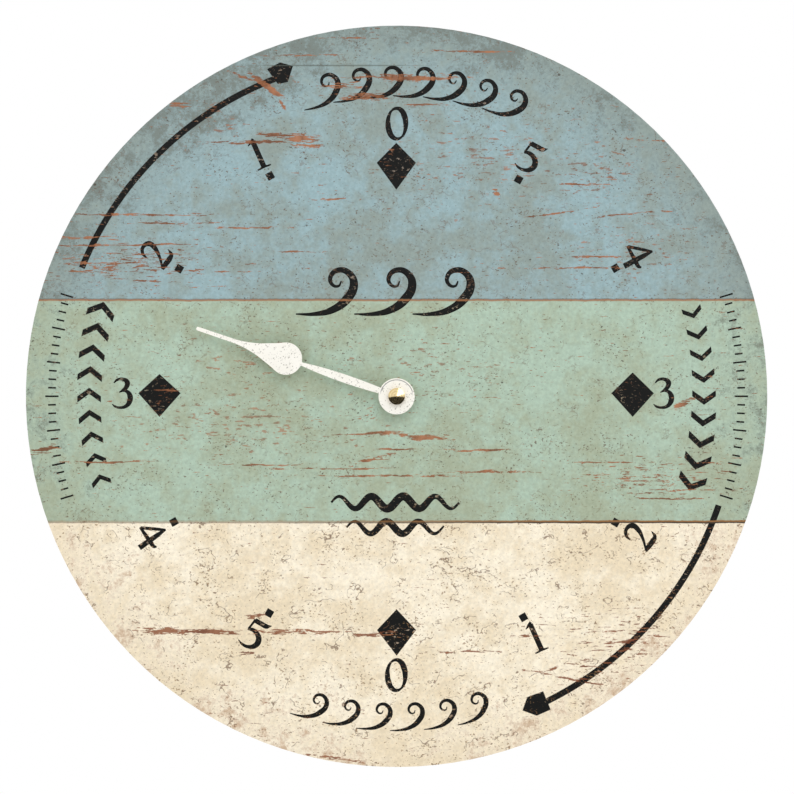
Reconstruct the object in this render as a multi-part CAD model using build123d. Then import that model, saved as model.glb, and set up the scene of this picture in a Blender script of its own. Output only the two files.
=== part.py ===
from build123d import *

import os
from math import atan, atan2, cos, degrees, pi, radians, sin, sqrt, tan

# Round wall tide clock: a printed board dial, one spade hand and a battery tide movement behind it.
# Every piece is modelled lying face up on a bench: u to the right, v towards the top of the dial and
# w out of the wall, with w = 0 on the wall. hang() then turns it upright: the dial faces -Y and +Z is up.

# Driving dimensions of the dial, in millimetres
dial_diameter = 266.7
board_thickness = 6.35
board_edge_radius = 0.6
print_thickness = 0.25
board_hole_clearance = 0.2

# Hand and its fixing
hand_length = 76.0
hand_hub_radius = 6.5
hand_thickness = 0.6
hand_tip_radius = 0.68
hand_angle = 161.2
spade_radius = 5.82
hand_bush_flange_radius = 3.4
hand_bush_flange = 0.5
hand_bush_radius = 2.4
hand_bush_proud = 0.05
cap_nut_radius = 3.0
cap_nut_height = 3.65
cap_nut_cone = 1.95
cap_nut_flat = 0.25
cap_nut_thread_depth = 2.6

# Central fixing through the board
bush_radius = 4.0
bush_flange_radius = 5.5
bush_flange = 0.9
bush_proud = 0.6
bush_chamfer = 0.4
front_washer_radius = 6.2
front_washer_thickness = 0.5
fixing_nut_flats = 10.0
fixing_nut_thickness = 2.2
fixing_nut_chamfer = 0.35
rubber_washer_radius = 11.0
rubber_washer_thickness = 1.0

# Hand shaft
shaft_radius = 1.75
shaft_front_gap = 0.3
hand_seat_radius = 1.6
hand_seat_flat = 1.25
thread_radius = 1.2
thread_clearance = 0.05
thread_end_gap = 0.15
clutch_seat_radius = 1.5
collar_radius = 2.4
pivot_radius = 0.6

# Clearances that serve several fits
running_clearance = 0.05
seat_clearance = 0.05
screw_clearance = 0.02
cover_clearance = 0.1
overrun = 1.0

# Gear train: tooth counts give one turn of the hand for 745.22 turns of the rotor
gear_module = 0.3
pressure_angle = 20.0
tooth_play = 0.04
tide_teeth = 53
wheel_teeth = 52
pinion_teeth = 10
setting_wheel_teeth = 50
setting_pinion_teeth = 30
wheel_addendum_share = 0.6
pinion_addendum_share = 1.0
dedendum_share = 1.25
wheel_flank_steps = 2
pinion_flank_steps = 4

# Where the arbors stand, as angles from each arbor to the next
third_angle = 70.3
second_angle = 113.5
first_angle = 179.7
rotor_angle = 254.5
knob_angle = 5.2

# Heights inside the movement, from the rear cover to the front wall
cover_thickness = 1.4
bridge_gap = 0.6
bridge_thickness = 1.0
rotor_gap = 1.6
magnet_length = 2.1
magnet_gap = 0.3
wheel_thickness = 0.8
layer_gap = 0.7
pinion_overlap = 0.3
front_gap = 0.6
case_wall = 1.6
pivot_depth = 0.8
pivot_end_gap = 0.2
arbor_radius = 0.5

# Case
case_corner_radius = 5.0
case_edge_radius = 0.8
chamber_corner_radius = 0.8
tide_wheel_gap = 0.75
chamber_top_gap = 1.0
cover_lip = 0.4
cover_lip_wall = 0.8
cover_screw_inset = 2.4
cover_post_radius = 1.8
cover_post_gap = 0.3

# Screws, all of one thread
screw_radius = 0.8
screw_head_radius = 1.5
screw_head = 0.5
screw_length = 5.0
screw_slot_width = 0.4
screw_slot_depth = 0.25
cover_head_recess = 0.65

# Setting knob in its pocket
knob_radius = 5.5
knob_height = 3.6
knob_sunk = 0.4
knob_flute_radius = 0.5
knob_flutes = 24
knob_dish_radius = 3.6
knob_dish_depth = 0.5
knob_arbor_radius = 0.8
knob_socket_depth = 2.8
pocket_radius = 8.4
pocket_depth = 4.4
pocket_floor = 1.2
pocket_wall = 1.0

# Clutch between the tide wheel and the shaft
clutch_spring_thickness = 0.25
clutch_spring_radius = 2.3
clutch_arm_length = 4.2
clutch_arm_width = 1.3
clutch_arms = 3
clutch_ring_thickness = 0.3
clutch_ring_radius = 2.3
clutch_ring_mouth = 1.6

# Bridge that carries the rear pivots
bridge_arm_width = 2.8
bridge_lobe_radius = 1.9
bridge_post_radius = 1.5
bridge_foot_radius = 2.1
post_a_height = -2.2
post_a_gap = 0.7
post_b_place = (11.0, 19.4)
post_c_place = (-17.6, 23.4)

# Motor: rotor, stator and coil
magnet_radius = 3.0
magnet_bore = 1.25
rotor_spindle_radius = 0.4
stator_thickness = 1.0
stator_hole_radius = 3.45
stator_ring_radius = 6.2
stator_end_radius = 2.2
stator_notch_radius = 0.45
core_width = 3.2
core_thickness = 1.0
core_screw_reach = 2.5
core_end = 2.0
motor_post_radius = 1.5
bobbin_length = 17.0
bobbin_flange_radius = 3.0
bobbin_flange = 0.8
bobbin_tube_radius = 2.2
winding_radius = 2.75
coil_wall_gap = 0.2
coil_wheel_gap = 2.4

# Circuit board
board_width = 11.6
board_height = 8.0
circuit_thickness = 1.0
circuit_inset = 0.6
circuit_floor_gap = 0.4
circuit_gap = 2.0
circuit_post_radius = 1.5
circuit_post_inset = 1.5
circuit_pin_radius = 0.6
circuit_collar_radius = 2.3
crystal_radius = 1.0
crystal_length = 5.2
crystal_end_radius = 0.3
chip_radius = 1.7
chip_height = 0.7

# Battery and its contacts
battery_diameter = 14.2
battery_length = 49.2
battery_edge_radius = 0.6
battery_side_gap = 0.8
battery_front_gap = 0.05
terminal_radius = 2.75
terminal_height = 1.2
terminal_edge_radius = 0.4
contact_thickness = 0.4
contact_strip_thickness = 0.3
contact_strip_width = 2.0
contact_height = 11.0
contact_width = 9.0
contact_gap = 0.05
spring_travel = 1.55
spring_thickness = 0.3
spring_width = 5.5
slot_clearance = 0.1

# Hanger plate
hanger_thickness = 0.8
hanger_width = 22.0
hanger_tail = 9.0
hanger_corner_radius = 6.0
hanger_bend_radius = 0.8
hanger_case_gap = 0.4
hanger_wall_gap = 0.9
hanger_tab_height = 20.0
eye_height = 8.0
eye_radius = 4.0
eye_slot_radius = 1.9
eye_slot_rise = 6.2

# Shape of the hand: (station along its length, half width), as shares of hand length and hub radius
hand_stem_shares = [
    (0.075, 0.158), (0.16, 0.208), (0.25, 0.228), (0.35, 0.203), (0.43, 0.142), (0.472, 0.092),
]
hand_taper_shares = [
    (0.605, 0.705), (0.643, 0.54), (0.682, 0.375), (0.72, 0.255), (0.765, 0.155), (0.82, 0.112),
]
spade_centre_share = 0.5525
spade_shoulder_angle = 72.0
spade_back_angle = 172.0


def polar(radius, angle, centre=(0, 0)):
    """Point at a distance and an angle in degrees from a centre."""
    return (centre[0] + radius * cos(radians(angle)), centre[1] + radius * sin(radians(angle)))


def mesh_distance(teeth_a, teeth_b):
    return gear_module * (teeth_a + teeth_b) / 2


def tip_radius(teeth, addendum_share):
    return gear_module * (teeth / 2 + addendum_share)


# Arbors in plan
shaft_at = (0, 0)
third_at = polar(mesh_distance(tide_teeth, pinion_teeth), third_angle)
second_at = polar(mesh_distance(wheel_teeth, pinion_teeth), second_angle, third_at)
first_at = polar(mesh_distance(wheel_teeth, pinion_teeth), first_angle, second_at)
rotor_at = polar(mesh_distance(wheel_teeth, pinion_teeth), rotor_angle, first_at)
knob_at = polar(mesh_distance(setting_wheel_teeth, setting_pinion_teeth), knob_angle)
tide_tip = tip_radius(tide_teeth, wheel_addendum_share)
wheel_tip = tip_radius(wheel_teeth, wheel_addendum_share)
pocket_outer = pocket_radius + pocket_wall

# Levels inside the movement, worked out upwards from the wall
bridge_low = cover_thickness + bridge_gap
bridge_high = bridge_low + bridge_thickness
magnet_low = bridge_high + rotor_gap
magnet_high = magnet_low + magnet_length
layer_step = wheel_thickness + layer_gap
first_low = magnet_high + magnet_gap
second_low = first_low + layer_step
third_low = second_low + layer_step
tide_low = third_low + layer_step
setting_low = tide_low + layer_step
train_top = setting_low + wheel_thickness + front_gap
battery_top = battery_diameter + 3 * battery_front_gap
front_in = max(train_top, battery_top)
case_depth = front_in + case_wall
pivot_high = front_in + pivot_depth
pivot_low = bridge_low + pivot_end_gap
stator_high = first_low - front_gap
stator_low = stator_high - stator_thickness
core_low = stator_low - core_thickness
coil_axis = core_low + core_thickness / 2

# Levels in front of the case
hanger_high = case_depth + hanger_thickness
board_low = hanger_high + rubber_washer_thickness
board_high = board_low + board_thickness
print_high = board_high + print_thickness
washer_high = print_high + front_washer_thickness
nut_high = washer_high + fixing_nut_thickness
bush_high = nut_high + bush_proud
shoulder = bush_high + shaft_front_gap
hand_low = shoulder + hand_bush_flange
hand_high = hand_low + hand_thickness
nut_seat = hand_high + hand_bush_proud
shaft_tip = nut_seat + cap_nut_thread_depth - thread_end_gap

# Core of the coil, which reaches past both ends of the bobbin
core_screw_spacing = bobbin_length + 2 * core_screw_reach
core_length = core_screw_spacing + 2 * core_end

# Outline of the case, which follows what it holds
bay_half = (battery_length + terminal_height + spring_travel + contact_gap + 2 * contact_thickness) / 2
coil_at = (
    min(first_at[0] - wheel_tip - coil_wheel_gap - bobbin_flange_radius,
        -bay_half + coil_wall_gap + bobbin_flange_radius),
    rotor_at[1],
)
coil_top = coil_at[1] + max(core_length / 2, core_screw_spacing / 2 + stator_end_radius)
half_width = max(bay_half, -coil_at[0] + bobbin_flange_radius + coil_wall_gap)
partition_top = min(-tide_tip - tide_wheel_gap, knob_at[1] - pocket_outer - coil_wall_gap)
partition_low = partition_top - case_wall
bay_low = partition_low - battery_diameter - 2 * battery_side_gap
chamber_top = max(
    second_at[1] + wheel_tip + chamber_top_gap,
    coil_top + cover_post_gap + cover_post_radius + cover_screw_inset,
)
case_bottom = bay_low - case_wall
case_top = chamber_top + case_wall
case_half = half_width + case_wall
case_middle = (case_top + case_bottom) / 2

# Places that follow from the case
battery_at = ((partition_low + bay_low) / 2, front_in - battery_front_gap - battery_diameter / 2)
cell_right = half_width - contact_thickness - contact_gap - terminal_height
cell_left = cell_right - battery_length
core_ends = [(coil_at[0], coil_at[1] + side * core_screw_spacing / 2) for side in (-1, 1)]
circuit_left = -half_width + circuit_inset
circuit_low = partition_top + circuit_floor_gap
circuit_bottom = stator_high + circuit_gap
circuit_top = circuit_bottom + circuit_thickness
circuit_pin_at = (circuit_left + board_width - circuit_post_inset, circuit_low + circuit_post_inset)
post_a_place = (circuit_left + board_width + post_a_gap + bridge_post_radius, post_a_height)
bridge_posts = [post_a_place, post_b_place, post_c_place]
cover_posts = [
    (half_width - cover_screw_inset, chamber_top - cover_screw_inset),
    (half_width - cover_screw_inset, partition_top + cover_screw_inset),
    (-half_width + cover_screw_inset, chamber_top - cover_screw_inset),
]
strip_low = circuit_bottom + (circuit_thickness - contact_strip_width) / 2


# Plain shapes on the bench


def disc(radius, low, high, at=(0, 0)):
    return Pos(*at, low) * Cylinder(radius, high - low, align=(Align.CENTER, Align.CENTER, Align.MIN))


def ring(outer, inner, low, high, at=(0, 0)):
    return disc(outer, low, high, at) - disc(inner, low - overrun, high + overrun, at)


def block(left, right, low_v, high_v, low, high):
    size = (right - left, high_v - low_v, high - low)
    return Pos(left, low_v, low) * Box(*size, align=(Align.MIN, Align.MIN, Align.MIN))


def plate(sketch, low, high):
    return Pos(0, 0, low) * extrude(sketch, high - low)


def rounded(left, right, low_v, high_v, radius):
    middle = ((left + right) / 2, (low_v + high_v) / 2)
    return Pos(*middle) * RectangleRounded(right - left, high_v - low_v, radius)


def bar(a, b, width):
    """Straight bar with round ends between two points, as a sketch."""
    length = sqrt((b[0] - a[0]) ** 2 + (b[1] - a[1]) ** 2)
    turn = degrees(atan2(b[1] - a[1], b[0] - a[0]))
    middle = ((a[0] + b[0]) / 2, (a[1] + b[1]) / 2)
    return Pos(*middle) * Rot(0, 0, turn) * SlotCenterToCenter(length, width)


def screw(at, seat, length):
    """Slotted screw driven from the wall side: its head lies below the seat and its shank runs up from it."""
    head = disc(screw_head_radius, seat - screw_head, seat, at)
    slot = block(
        at[0] - screw_head_radius - overrun, at[0] + screw_head_radius + overrun,
        at[1] - screw_slot_width / 2, at[1] + screw_slot_width / 2,
        seat - screw_head - overrun, seat - screw_head + screw_slot_depth,
    )
    return head - slot + disc(screw_radius, seat, seat + length, at)


def pilot(at, low, high):
    return disc(screw_radius + screw_clearance, low, high, at)


# Gears


def involute(angle):
    return tan(angle) - angle


def gear_outline(teeth, addendum_share, steps, phase):
    """Involute gear outline with one tooth centred on the phase angle, in degrees."""
    pitch = gear_module * teeth / 2
    base = pitch * cos(radians(pressure_angle))
    root = pitch - dedendum_share * gear_module
    tip = pitch + addendum_share * gear_module
    half_pitch = (pi * gear_module / 2 - tooth_play) / 2 / pitch
    flank_start = max(root, base)
    radii = [flank_start + (tip - flank_start) * step / steps for step in range(steps + 1)]

    def half_angle(radius):
        roll = atan(sqrt(max((radius / base) ** 2 - 1, 0)))
        return half_pitch + involute(radians(pressure_angle)) - involute(roll)

    flank = [(radius, half_angle(radius)) for radius in radii]
    if root < base:
        flank.insert(0, (root, half_angle(base)))
    points = []
    for tooth in range(teeth):
        middle = radians(phase) + tooth * 2 * pi / teeth
        for side, part in ((-1, flank), (1, flank[::-1])):
            points += [(r * cos(middle + side * a), r * sin(middle + side * a)) for r, a in part]
    return make_face(Polyline(*points, close=True))


def wheel(teeth, low, high, at, phase):
    return Pos(*at) * plate(gear_outline(teeth, wheel_addendum_share, wheel_flank_steps, phase), low, high)


def pinion(teeth, low, high, at, towards):
    """Pinion with a gap, not a tooth, on the line to the wheel that it meshes with."""
    phase = towards + 180.0 / teeth
    return Pos(*at) * plate(gear_outline(teeth, pinion_addendum_share, pinion_flank_steps, phase), low, high)


def train_wheel(low, at, towards_last, towards_next):
    """Wheel, pinion and arbor in one: the pinion meshes with the last wheel, the wheel with the next."""
    teeth = wheel(wheel_teeth, low, low + wheel_thickness, at, towards_next)
    leaves_top = low + layer_step + wheel_thickness + pinion_overlap
    leaves = pinion(pinion_teeth, low + wheel_thickness, leaves_top, at, towards_last)
    return teeth + leaves + disc(arbor_radius, pivot_low, pivot_high, at)


# Dial and its central fixing


def dial_board():
    board = disc(dial_diameter / 2, board_low, board_high)
    board = fillet(board.edges().group_by(Axis.Z)[0], board_edge_radius)
    return board - disc(bush_radius + board_hole_clearance, board_low - overrun, board_high + overrun)


def dial_print():
    return ring(dial_diameter / 2, bush_radius + board_hole_clearance, board_high, print_high)


def threaded_bush():
    bush = disc(bush_radius, front_in, bush_high) + disc(bush_flange_radius, front_in, front_in + bush_flange)
    bush = chamfer(bush.edges().group_by(Axis.Z)[-1], bush_chamfer)
    return bush - disc(shaft_radius + running_clearance, front_in - overrun, bush_high + overrun)


def front_washer():
    return ring(front_washer_radius, bush_radius + seat_clearance, print_high, washer_high)


def fixing_nut():
    flats = RegularPolygon(fixing_nut_flats / 2, 6, major_radius=False)
    nut = plate(flats, washer_high, nut_high)
    corner = fixing_nut_flats / sqrt(3)
    bevel = Pos(0, 0, washer_high) * Cone(
        corner + fixing_nut_thickness, corner - fixing_nut_chamfer, fixing_nut_thickness,
        align=(Align.CENTER, Align.CENTER, Align.MIN),
    )
    nut = nut & bevel
    return nut - disc(bush_radius + seat_clearance, washer_high - overrun, nut_high + overrun)


def rubber_washer():
    return ring(rubber_washer_radius, bush_radius + seat_clearance, hanger_high, board_low)


def hanger_plate():
    """Steel strap clamped under the case front, bent back over the case to a keyhole tab at the wall."""
    roof_low = case_top + hanger_case_gap
    roof_high = roof_low + hanger_thickness
    tab_low, tab_high = hanger_wall_gap, hanger_wall_gap + hanger_thickness
    tab_top = roof_low + hanger_tab_height
    outer_bend = hanger_bend_radius + hanger_thickness
    base = Pos((roof_high - hanger_tail) / 2, (case_depth + hanger_high) / 2) * Rectangle(
        roof_high + hanger_tail, hanger_thickness)
    roof = Pos((roof_low + roof_high) / 2, (tab_low + hanger_high) / 2) * Rectangle(
        hanger_thickness, hanger_high - tab_low)
    tab = Pos((roof_low + tab_top) / 2, (tab_low + tab_high) / 2) * Rectangle(
        tab_top - roof_low, hanger_thickness)
    section = base + roof + tab
    bends = [
        ((roof_low, case_depth), hanger_bend_radius),
        ((roof_high, hanger_high), outer_bend),
        ((roof_high, tab_high), hanger_bend_radius),
        ((roof_low, tab_low), outer_bend),
    ]
    for corner, radius in bends:
        section = fillet(section.vertices().sort_by_distance(Vector(*corner, 0))[0], radius)
    strap = extrude(Plane.YZ * section, hanger_width / 2, both=True)
    outline = rounded(-hanger_width / 2, hanger_width / 2, -hanger_tail, tab_top, hanger_corner_radius)
    strap = strap & plate(outline, 0, hanger_high)
    eye_at = (0, roof_high + eye_height)
    slot_at = (0, eye_at[1] + eye_slot_rise)
    keyhole = disc(eye_radius, 0, tab_high + overrun, eye_at)
    keyhole += plate(bar(eye_at, slot_at, 2 * eye_slot_radius), 0, tab_high + overrun)
    hole = disc(bush_radius + seat_clearance, case_depth - overrun, hanger_high + overrun)
    return strap - hole - keyhole


# Hand


def hand_outline():
    """Spade hand along +u from its hub: slim stem, round-backed spade and a long needle, as one sketch."""
    stem = [(share * hand_length, width * hand_hub_radius) for share, width in hand_stem_shares]
    taper = [(share * hand_length, width * hand_hub_radius) for share, width in hand_taper_shares]
    spade_at = (spade_centre_share * hand_length, 0)
    back = polar(spade_radius, spade_back_angle, spade_at)
    crown = polar(spade_radius, (spade_back_angle + spade_shoulder_angle) / 2, spade_at)
    shoulder_point = polar(spade_radius, spade_shoulder_angle, spade_at)
    shoulder_run = Vector(sin(radians(spade_shoulder_angle)), -cos(radians(spade_shoulder_angle)), 0)
    tip_start = (hand_length - hand_tip_radius, hand_tip_radius)
    side = [
        Line((0, stem[0][1]), stem[0]),
        Spline(*stem),
        Line(stem[-1], back),
        ThreePointArc(back, crown, shoulder_point),
        Spline(shoulder_point, *taper, tangents=[shoulder_run, Vector(1, 0, 0)], tangent_scalars=[1, 1]),
        Line(taper[-1], tip_start),
        ThreePointArc(tip_start, polar(hand_tip_radius, 45, (tip_start[0], 0)), (hand_length, 0)),
        Line((hand_length, 0), (0, 0)),
        Line((0, 0), (0, stem[0][1])),
    ]
    half = make_face(Wire(side))
    return half + mirror(half, Plane.XZ) + Circle(hand_hub_radius)


def tide_hand():
    hand = plate(Rot(0, 0, hand_angle) * hand_outline(), hand_low, hand_high)
    return hand - disc(hand_bush_radius + seat_clearance, hand_low - overrun, hand_high + overrun)


def seat_section(clearance):
    """Round with two flats, on which the hand can't turn."""
    flats = Rectangle(2 * (hand_seat_radius + clearance), 2 * (hand_seat_flat + clearance))
    return Rot(0, 0, hand_angle) * (Circle(hand_seat_radius + clearance) & flats)


def hand_bush():
    bush = disc(hand_bush_flange_radius, shoulder, hand_low) + disc(hand_bush_radius, hand_low, nut_seat)
    return bush - plate(seat_section(seat_clearance), shoulder - overrun, nut_seat + overrun)


def cap_nut():
    """Blind nut with a plain side and a turned cone, which leaves only a small flat at its tip."""
    cone_low = nut_seat + cap_nut_height - cap_nut_cone
    cone = Pos(0, 0, cone_low) * Cone(
        cap_nut_radius, cap_nut_flat, cap_nut_cone,
        align=(Align.CENTER, Align.CENTER, Align.MIN),
    )
    nut = disc(cap_nut_radius, nut_seat, cone_low) + cone
    return nut - disc(thread_radius + thread_clearance, nut_seat - overrun, nut_seat + cap_nut_thread_depth)


def hand_shaft():
    clutch_low = tide_low - clutch_spring_thickness - clutch_ring_thickness
    tide_high = tide_low + wheel_thickness
    shaft = disc(pivot_radius, pivot_low, clutch_low)
    shaft += disc(clutch_seat_radius, clutch_low, tide_high)
    shaft += disc(collar_radius, tide_high, setting_low)
    shaft += disc(shaft_radius, setting_low, shoulder)
    shaft += plate(seat_section(0), shoulder, hand_high)
    return shaft + disc(thread_radius, hand_high, shaft_tip)


# Train


def setting_wheel():
    gear = wheel(setting_wheel_teeth, setting_low, setting_low + wheel_thickness, shaft_at, knob_angle)
    return gear - disc(shaft_radius + seat_clearance, setting_low - overrun, train_top)


def tide_wheel():
    gear = wheel(tide_teeth, tide_low, tide_low + wheel_thickness, shaft_at, third_angle)
    return gear - disc(clutch_seat_radius + running_clearance, tide_low - overrun, setting_low)


def clutch_spring():
    """Three-armed friction spring that presses the tide wheel against the collar."""
    star = Circle(clutch_spring_radius)
    for arm in range(clutch_arms):
        star += bar((0, 0), polar(clutch_arm_length, third_angle + arm * 360 / clutch_arms), clutch_arm_width)
    star -= Circle(clutch_seat_radius + running_clearance)
    return plate(star, tide_low - clutch_spring_thickness, tide_low)


def clutch_ring():
    """Open retaining ring in front of the rear pivot."""
    high = tide_low - clutch_spring_thickness
    closed = ring(clutch_ring_radius, clutch_seat_radius + seat_clearance, high - clutch_ring_thickness, high)
    half_mouth = clutch_ring_mouth / 2
    return closed - block(0, clutch_ring_radius + overrun, -half_mouth, half_mouth, 0, high + overrun)


def third_wheel():
    return train_wheel(third_low, third_at, third_angle + 180, second_angle)


def second_wheel():
    return train_wheel(second_low, second_at, second_angle + 180, first_angle)


def first_wheel():
    return train_wheel(first_low, first_at, first_angle + 180, rotor_angle)


def rotor_pinion():
    """Rotor pinion with its spindle and the hub that the magnet is pressed on."""
    leaves_top = first_low + wheel_thickness + pinion_overlap
    leaves = pinion(pinion_teeth, magnet_high, leaves_top, rotor_at, rotor_angle + 180)
    hub = disc(magnet_bore - seat_clearance, magnet_low, magnet_high, rotor_at)
    return leaves + hub + disc(rotor_spindle_radius, pivot_low, pivot_high, rotor_at)


def rotor_magnet():
    return ring(magnet_radius, magnet_bore, magnet_low, magnet_high, rotor_at)


def setting_pinion():
    half_extra = (layer_gap - front_gap / 2) / 2
    low, high = setting_low - half_extra, setting_low + wheel_thickness + half_extra
    leaves = pinion(setting_pinion_teeth, low, high, knob_at, knob_angle + 180)
    socket_end = knob_sunk + knob_height - knob_socket_depth + seat_clearance
    return leaves + disc(knob_arbor_radius, socket_end, pivot_high, knob_at)


def setting_knob():
    """Fluted thumb knob with a dished face."""
    top = knob_sunk + knob_height
    knob = disc(knob_radius, knob_sunk, top, knob_at)
    for flute in range(knob_flutes):
        rim_point = polar(knob_radius, flute * 360 / knob_flutes, knob_at)
        knob -= disc(knob_flute_radius, 0, top + overrun, rim_point)
    knob -= disc(knob_dish_radius, 0, knob_sunk + knob_dish_depth, knob_at)
    return knob - disc(knob_arbor_radius + seat_clearance, top - knob_socket_depth, top + overrun, knob_at)


# Motor and electronics


def stator():
    """Soft iron plate: a ring round the magnet and an arm to each end of the coil's core."""
    section = Pos(*rotor_at) * Circle(stator_ring_radius)
    for end in core_ends:
        outline = (Pos(*rotor_at) * Circle(stator_ring_radius)).edges()
        outline += (Pos(*end) * Circle(stator_end_radius)).edges()
        section += make_hull(outline)
    coil_room = Pos(coil_at[0], coil_at[1]) * Rectangle(
        2 * (bobbin_flange_radius + coil_wall_gap), bobbin_length + 2 * coil_wall_gap)
    section -= coil_room
    section -= Pos(*rotor_at) * Circle(stator_hole_radius)
    for side in (0, 180):
        section -= Pos(*polar(stator_hole_radius, side, rotor_at)) * Circle(stator_notch_radius)
    for end in core_ends:
        section -= Pos(*end) * Circle(screw_radius + screw_clearance)
    return plate(section, stator_low, stator_high)


def coil_core():
    core = Pos(*coil_at) * RectangleRounded(core_width, core_length, core_width / 4)
    for end in core_ends:
        core -= Pos(*end) * Circle(screw_radius + screw_clearance)
    return plate(core, core_low, stator_low)


def along_coil(radius, low, high):
    """Cylinder round the coil's axis, between two places along v."""
    axis = Plane((coil_at[0], low, coil_axis), x_dir=(1, 0, 0), z_dir=(0, 1, 0))
    return axis * Cylinder(radius, high - low, align=(Align.CENTER, Align.CENTER, Align.MIN))


def coil_bobbin():
    low, high = coil_at[1] - bobbin_length / 2, coil_at[1] + bobbin_length / 2
    bobbin = along_coil(bobbin_tube_radius, low, high)
    bobbin += along_coil(bobbin_flange_radius, low, low + bobbin_flange)
    bobbin += along_coil(bobbin_flange_radius, high - bobbin_flange, high)
    half_slot = core_width / 2 + seat_clearance
    slot = block(
        coil_at[0] - half_slot, coil_at[0] + half_slot, low - overrun, high + overrun,
        core_low - seat_clearance, stator_low + seat_clearance,
    )
    return bobbin - slot


def coil_winding():
    half = bobbin_length / 2 - bobbin_flange - seat_clearance
    low, high = coil_at[1] - half, coil_at[1] + half
    bore = along_coil(bobbin_tube_radius + seat_clearance, low - overrun, high + overrun)
    return along_coil(winding_radius, low, high) - bore


def motor_screws():
    return [screw(end, core_low, screw_length) for end in core_ends]


def circuit_board():
    outline = rounded(
        circuit_left, circuit_left + board_width, circuit_low, circuit_low + board_height, circuit_inset)
    outline -= Pos(*core_ends[0]) * Circle(motor_post_radius + seat_clearance)
    outline -= Pos(*circuit_pin_at) * Circle(circuit_pin_radius + seat_clearance)
    return plate(outline, circuit_bottom, circuit_top)


def quartz_crystal():
    """Can of the crystal, lying along u on the rear of the circuit board."""
    left = circuit_left + circuit_inset
    low_v = circuit_low + crystal_radius + circuit_floor_gap
    axis = Plane((left, low_v, circuit_bottom - crystal_radius), x_dir=(0, 1, 0), z_dir=(1, 0, 0))
    can = axis * Cylinder(crystal_radius, crystal_length, align=(Align.CENTER, Align.CENTER, Align.MIN))
    return fillet(can.edges().group_by(Axis.X)[0], crystal_end_radius)


def chip_cover():
    """Moulded blob over the chip."""
    edge = chip_radius + circuit_inset
    at = (circuit_left + board_width - edge, circuit_low + board_height - edge)
    blob = disc(chip_radius, circuit_bottom - chip_height, circuit_bottom, at)
    return fillet(blob.edges().group_by(Axis.Z)[0], chip_height / 2)


# Bridge and case


def train_bridge():
    """Skeleton plate that carries the rear pivots, on three posts and clear of the knob pocket."""
    a, b, c = bridge_posts
    spans = [(a, shaft_at), (shaft_at, third_at), (third_at, b), (third_at, second_at),
             (second_at, first_at), (first_at, c), (first_at, rotor_at), (rotor_at, a)]
    section = Pos(*a) * Circle(bridge_foot_radius)
    for start, end in spans:
        section += bar(start, end, bridge_arm_width)
    for foot in (b, c):
        section += Pos(*foot) * Circle(bridge_foot_radius)
    for arbor in (shaft_at, third_at, second_at, first_at, rotor_at):
        section += Pos(*arbor) * Circle(bridge_lobe_radius)
    section -= Pos(*knob_at) * Circle(pocket_outer + coil_wall_gap)
    for arbor, radius in pivots():
        section -= Pos(*arbor) * Circle(radius + running_clearance)
    for foot in bridge_posts:
        section -= Pos(*foot) * Circle(screw_radius + screw_clearance)
    return plate(section, bridge_low, bridge_high)


def pivots():
    """Each arbor that runs in the bridge, with its pivot's radius."""
    wheels = [(at, arbor_radius) for at in (third_at, second_at, first_at)]
    return wheels + [(shaft_at, pivot_radius), (rotor_at, rotor_spindle_radius)]


def bridge_screws():
    return [screw(foot, bridge_low, screw_length) for foot in bridge_posts]


def case_outline():
    return rounded(-case_half, case_half, case_bottom, case_top, case_corner_radius)


def cover_reach(extra):
    """Everything above the bay, so that the outline of the case can be parted from that of the cover."""
    return block(-case_half - overrun, case_half + overrun, partition_low + extra, case_top + overrun,
                 -overrun, cover_thickness)


def case_front():
    """Tray with a battery bay below and a train chamber above, and the posts that carry the works."""
    case = plate(case_outline(), 0, case_depth)
    case = fillet(case.edges().group_by(Axis.Z)[-1], case_edge_radius)
    chamber = rounded(-half_width, half_width, partition_top, chamber_top, chamber_corner_radius)
    case -= plate(chamber, -overrun, front_in)
    case -= block(-half_width, half_width, bay_low, partition_low, -overrun, front_in)
    case -= cover_reach(0)
    posts = [(foot, bridge_post_radius, bridge_high) for foot in bridge_posts]
    posts += [(end, motor_post_radius, stator_high) for end in core_ends]
    posts += [
        (core_ends[0], circuit_collar_radius, circuit_top),
        (circuit_pin_at, circuit_post_radius, circuit_top),
        (circuit_pin_at, circuit_pin_radius, circuit_bottom - pivot_end_gap),
    ]
    posts += [(corner, cover_post_radius, cover_thickness) for corner in cover_posts]
    for at, radius, low in posts:
        case += disc(radius, low, front_in + seat_clearance, at)
    for at in bridge_posts:
        case -= pilot(at, 0, bridge_low + screw_length + pivot_end_gap)
    for at in core_ends:
        case -= pilot(at, 0, core_low + screw_length + pivot_end_gap)
    for at in cover_posts:
        case -= pilot(at, 0, cover_head_recess + screw_length + pivot_end_gap)
    for at, radius in pivots() + [(knob_at, knob_arbor_radius)]:
        if at != shaft_at:
            case -= disc(radius + running_clearance, front_in - overrun, pivot_high + pivot_end_gap, at)
    case -= disc(bush_radius + seat_clearance, front_in - overrun, case_depth + overrun)
    case -= disc(bush_flange_radius + seat_clearance, front_in - overrun, front_in + bush_flange)
    for left, right in contact_slots():
        case -= block(left, right, partition_low - overrun, partition_top + chamber_corner_radius,
                      strip_low - slot_clearance, strip_low + contact_strip_width + slot_clearance)
    return case


def contact_slots():
    """Where the two contacts pass from the bay into the chamber, as spans along u."""
    room = max(contact_thickness + slot_clearance, chamber_corner_radius)
    return [
        (-half_width - slot_clearance, -half_width + room),
        (half_width - room, half_width + slot_clearance),
    ]


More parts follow.
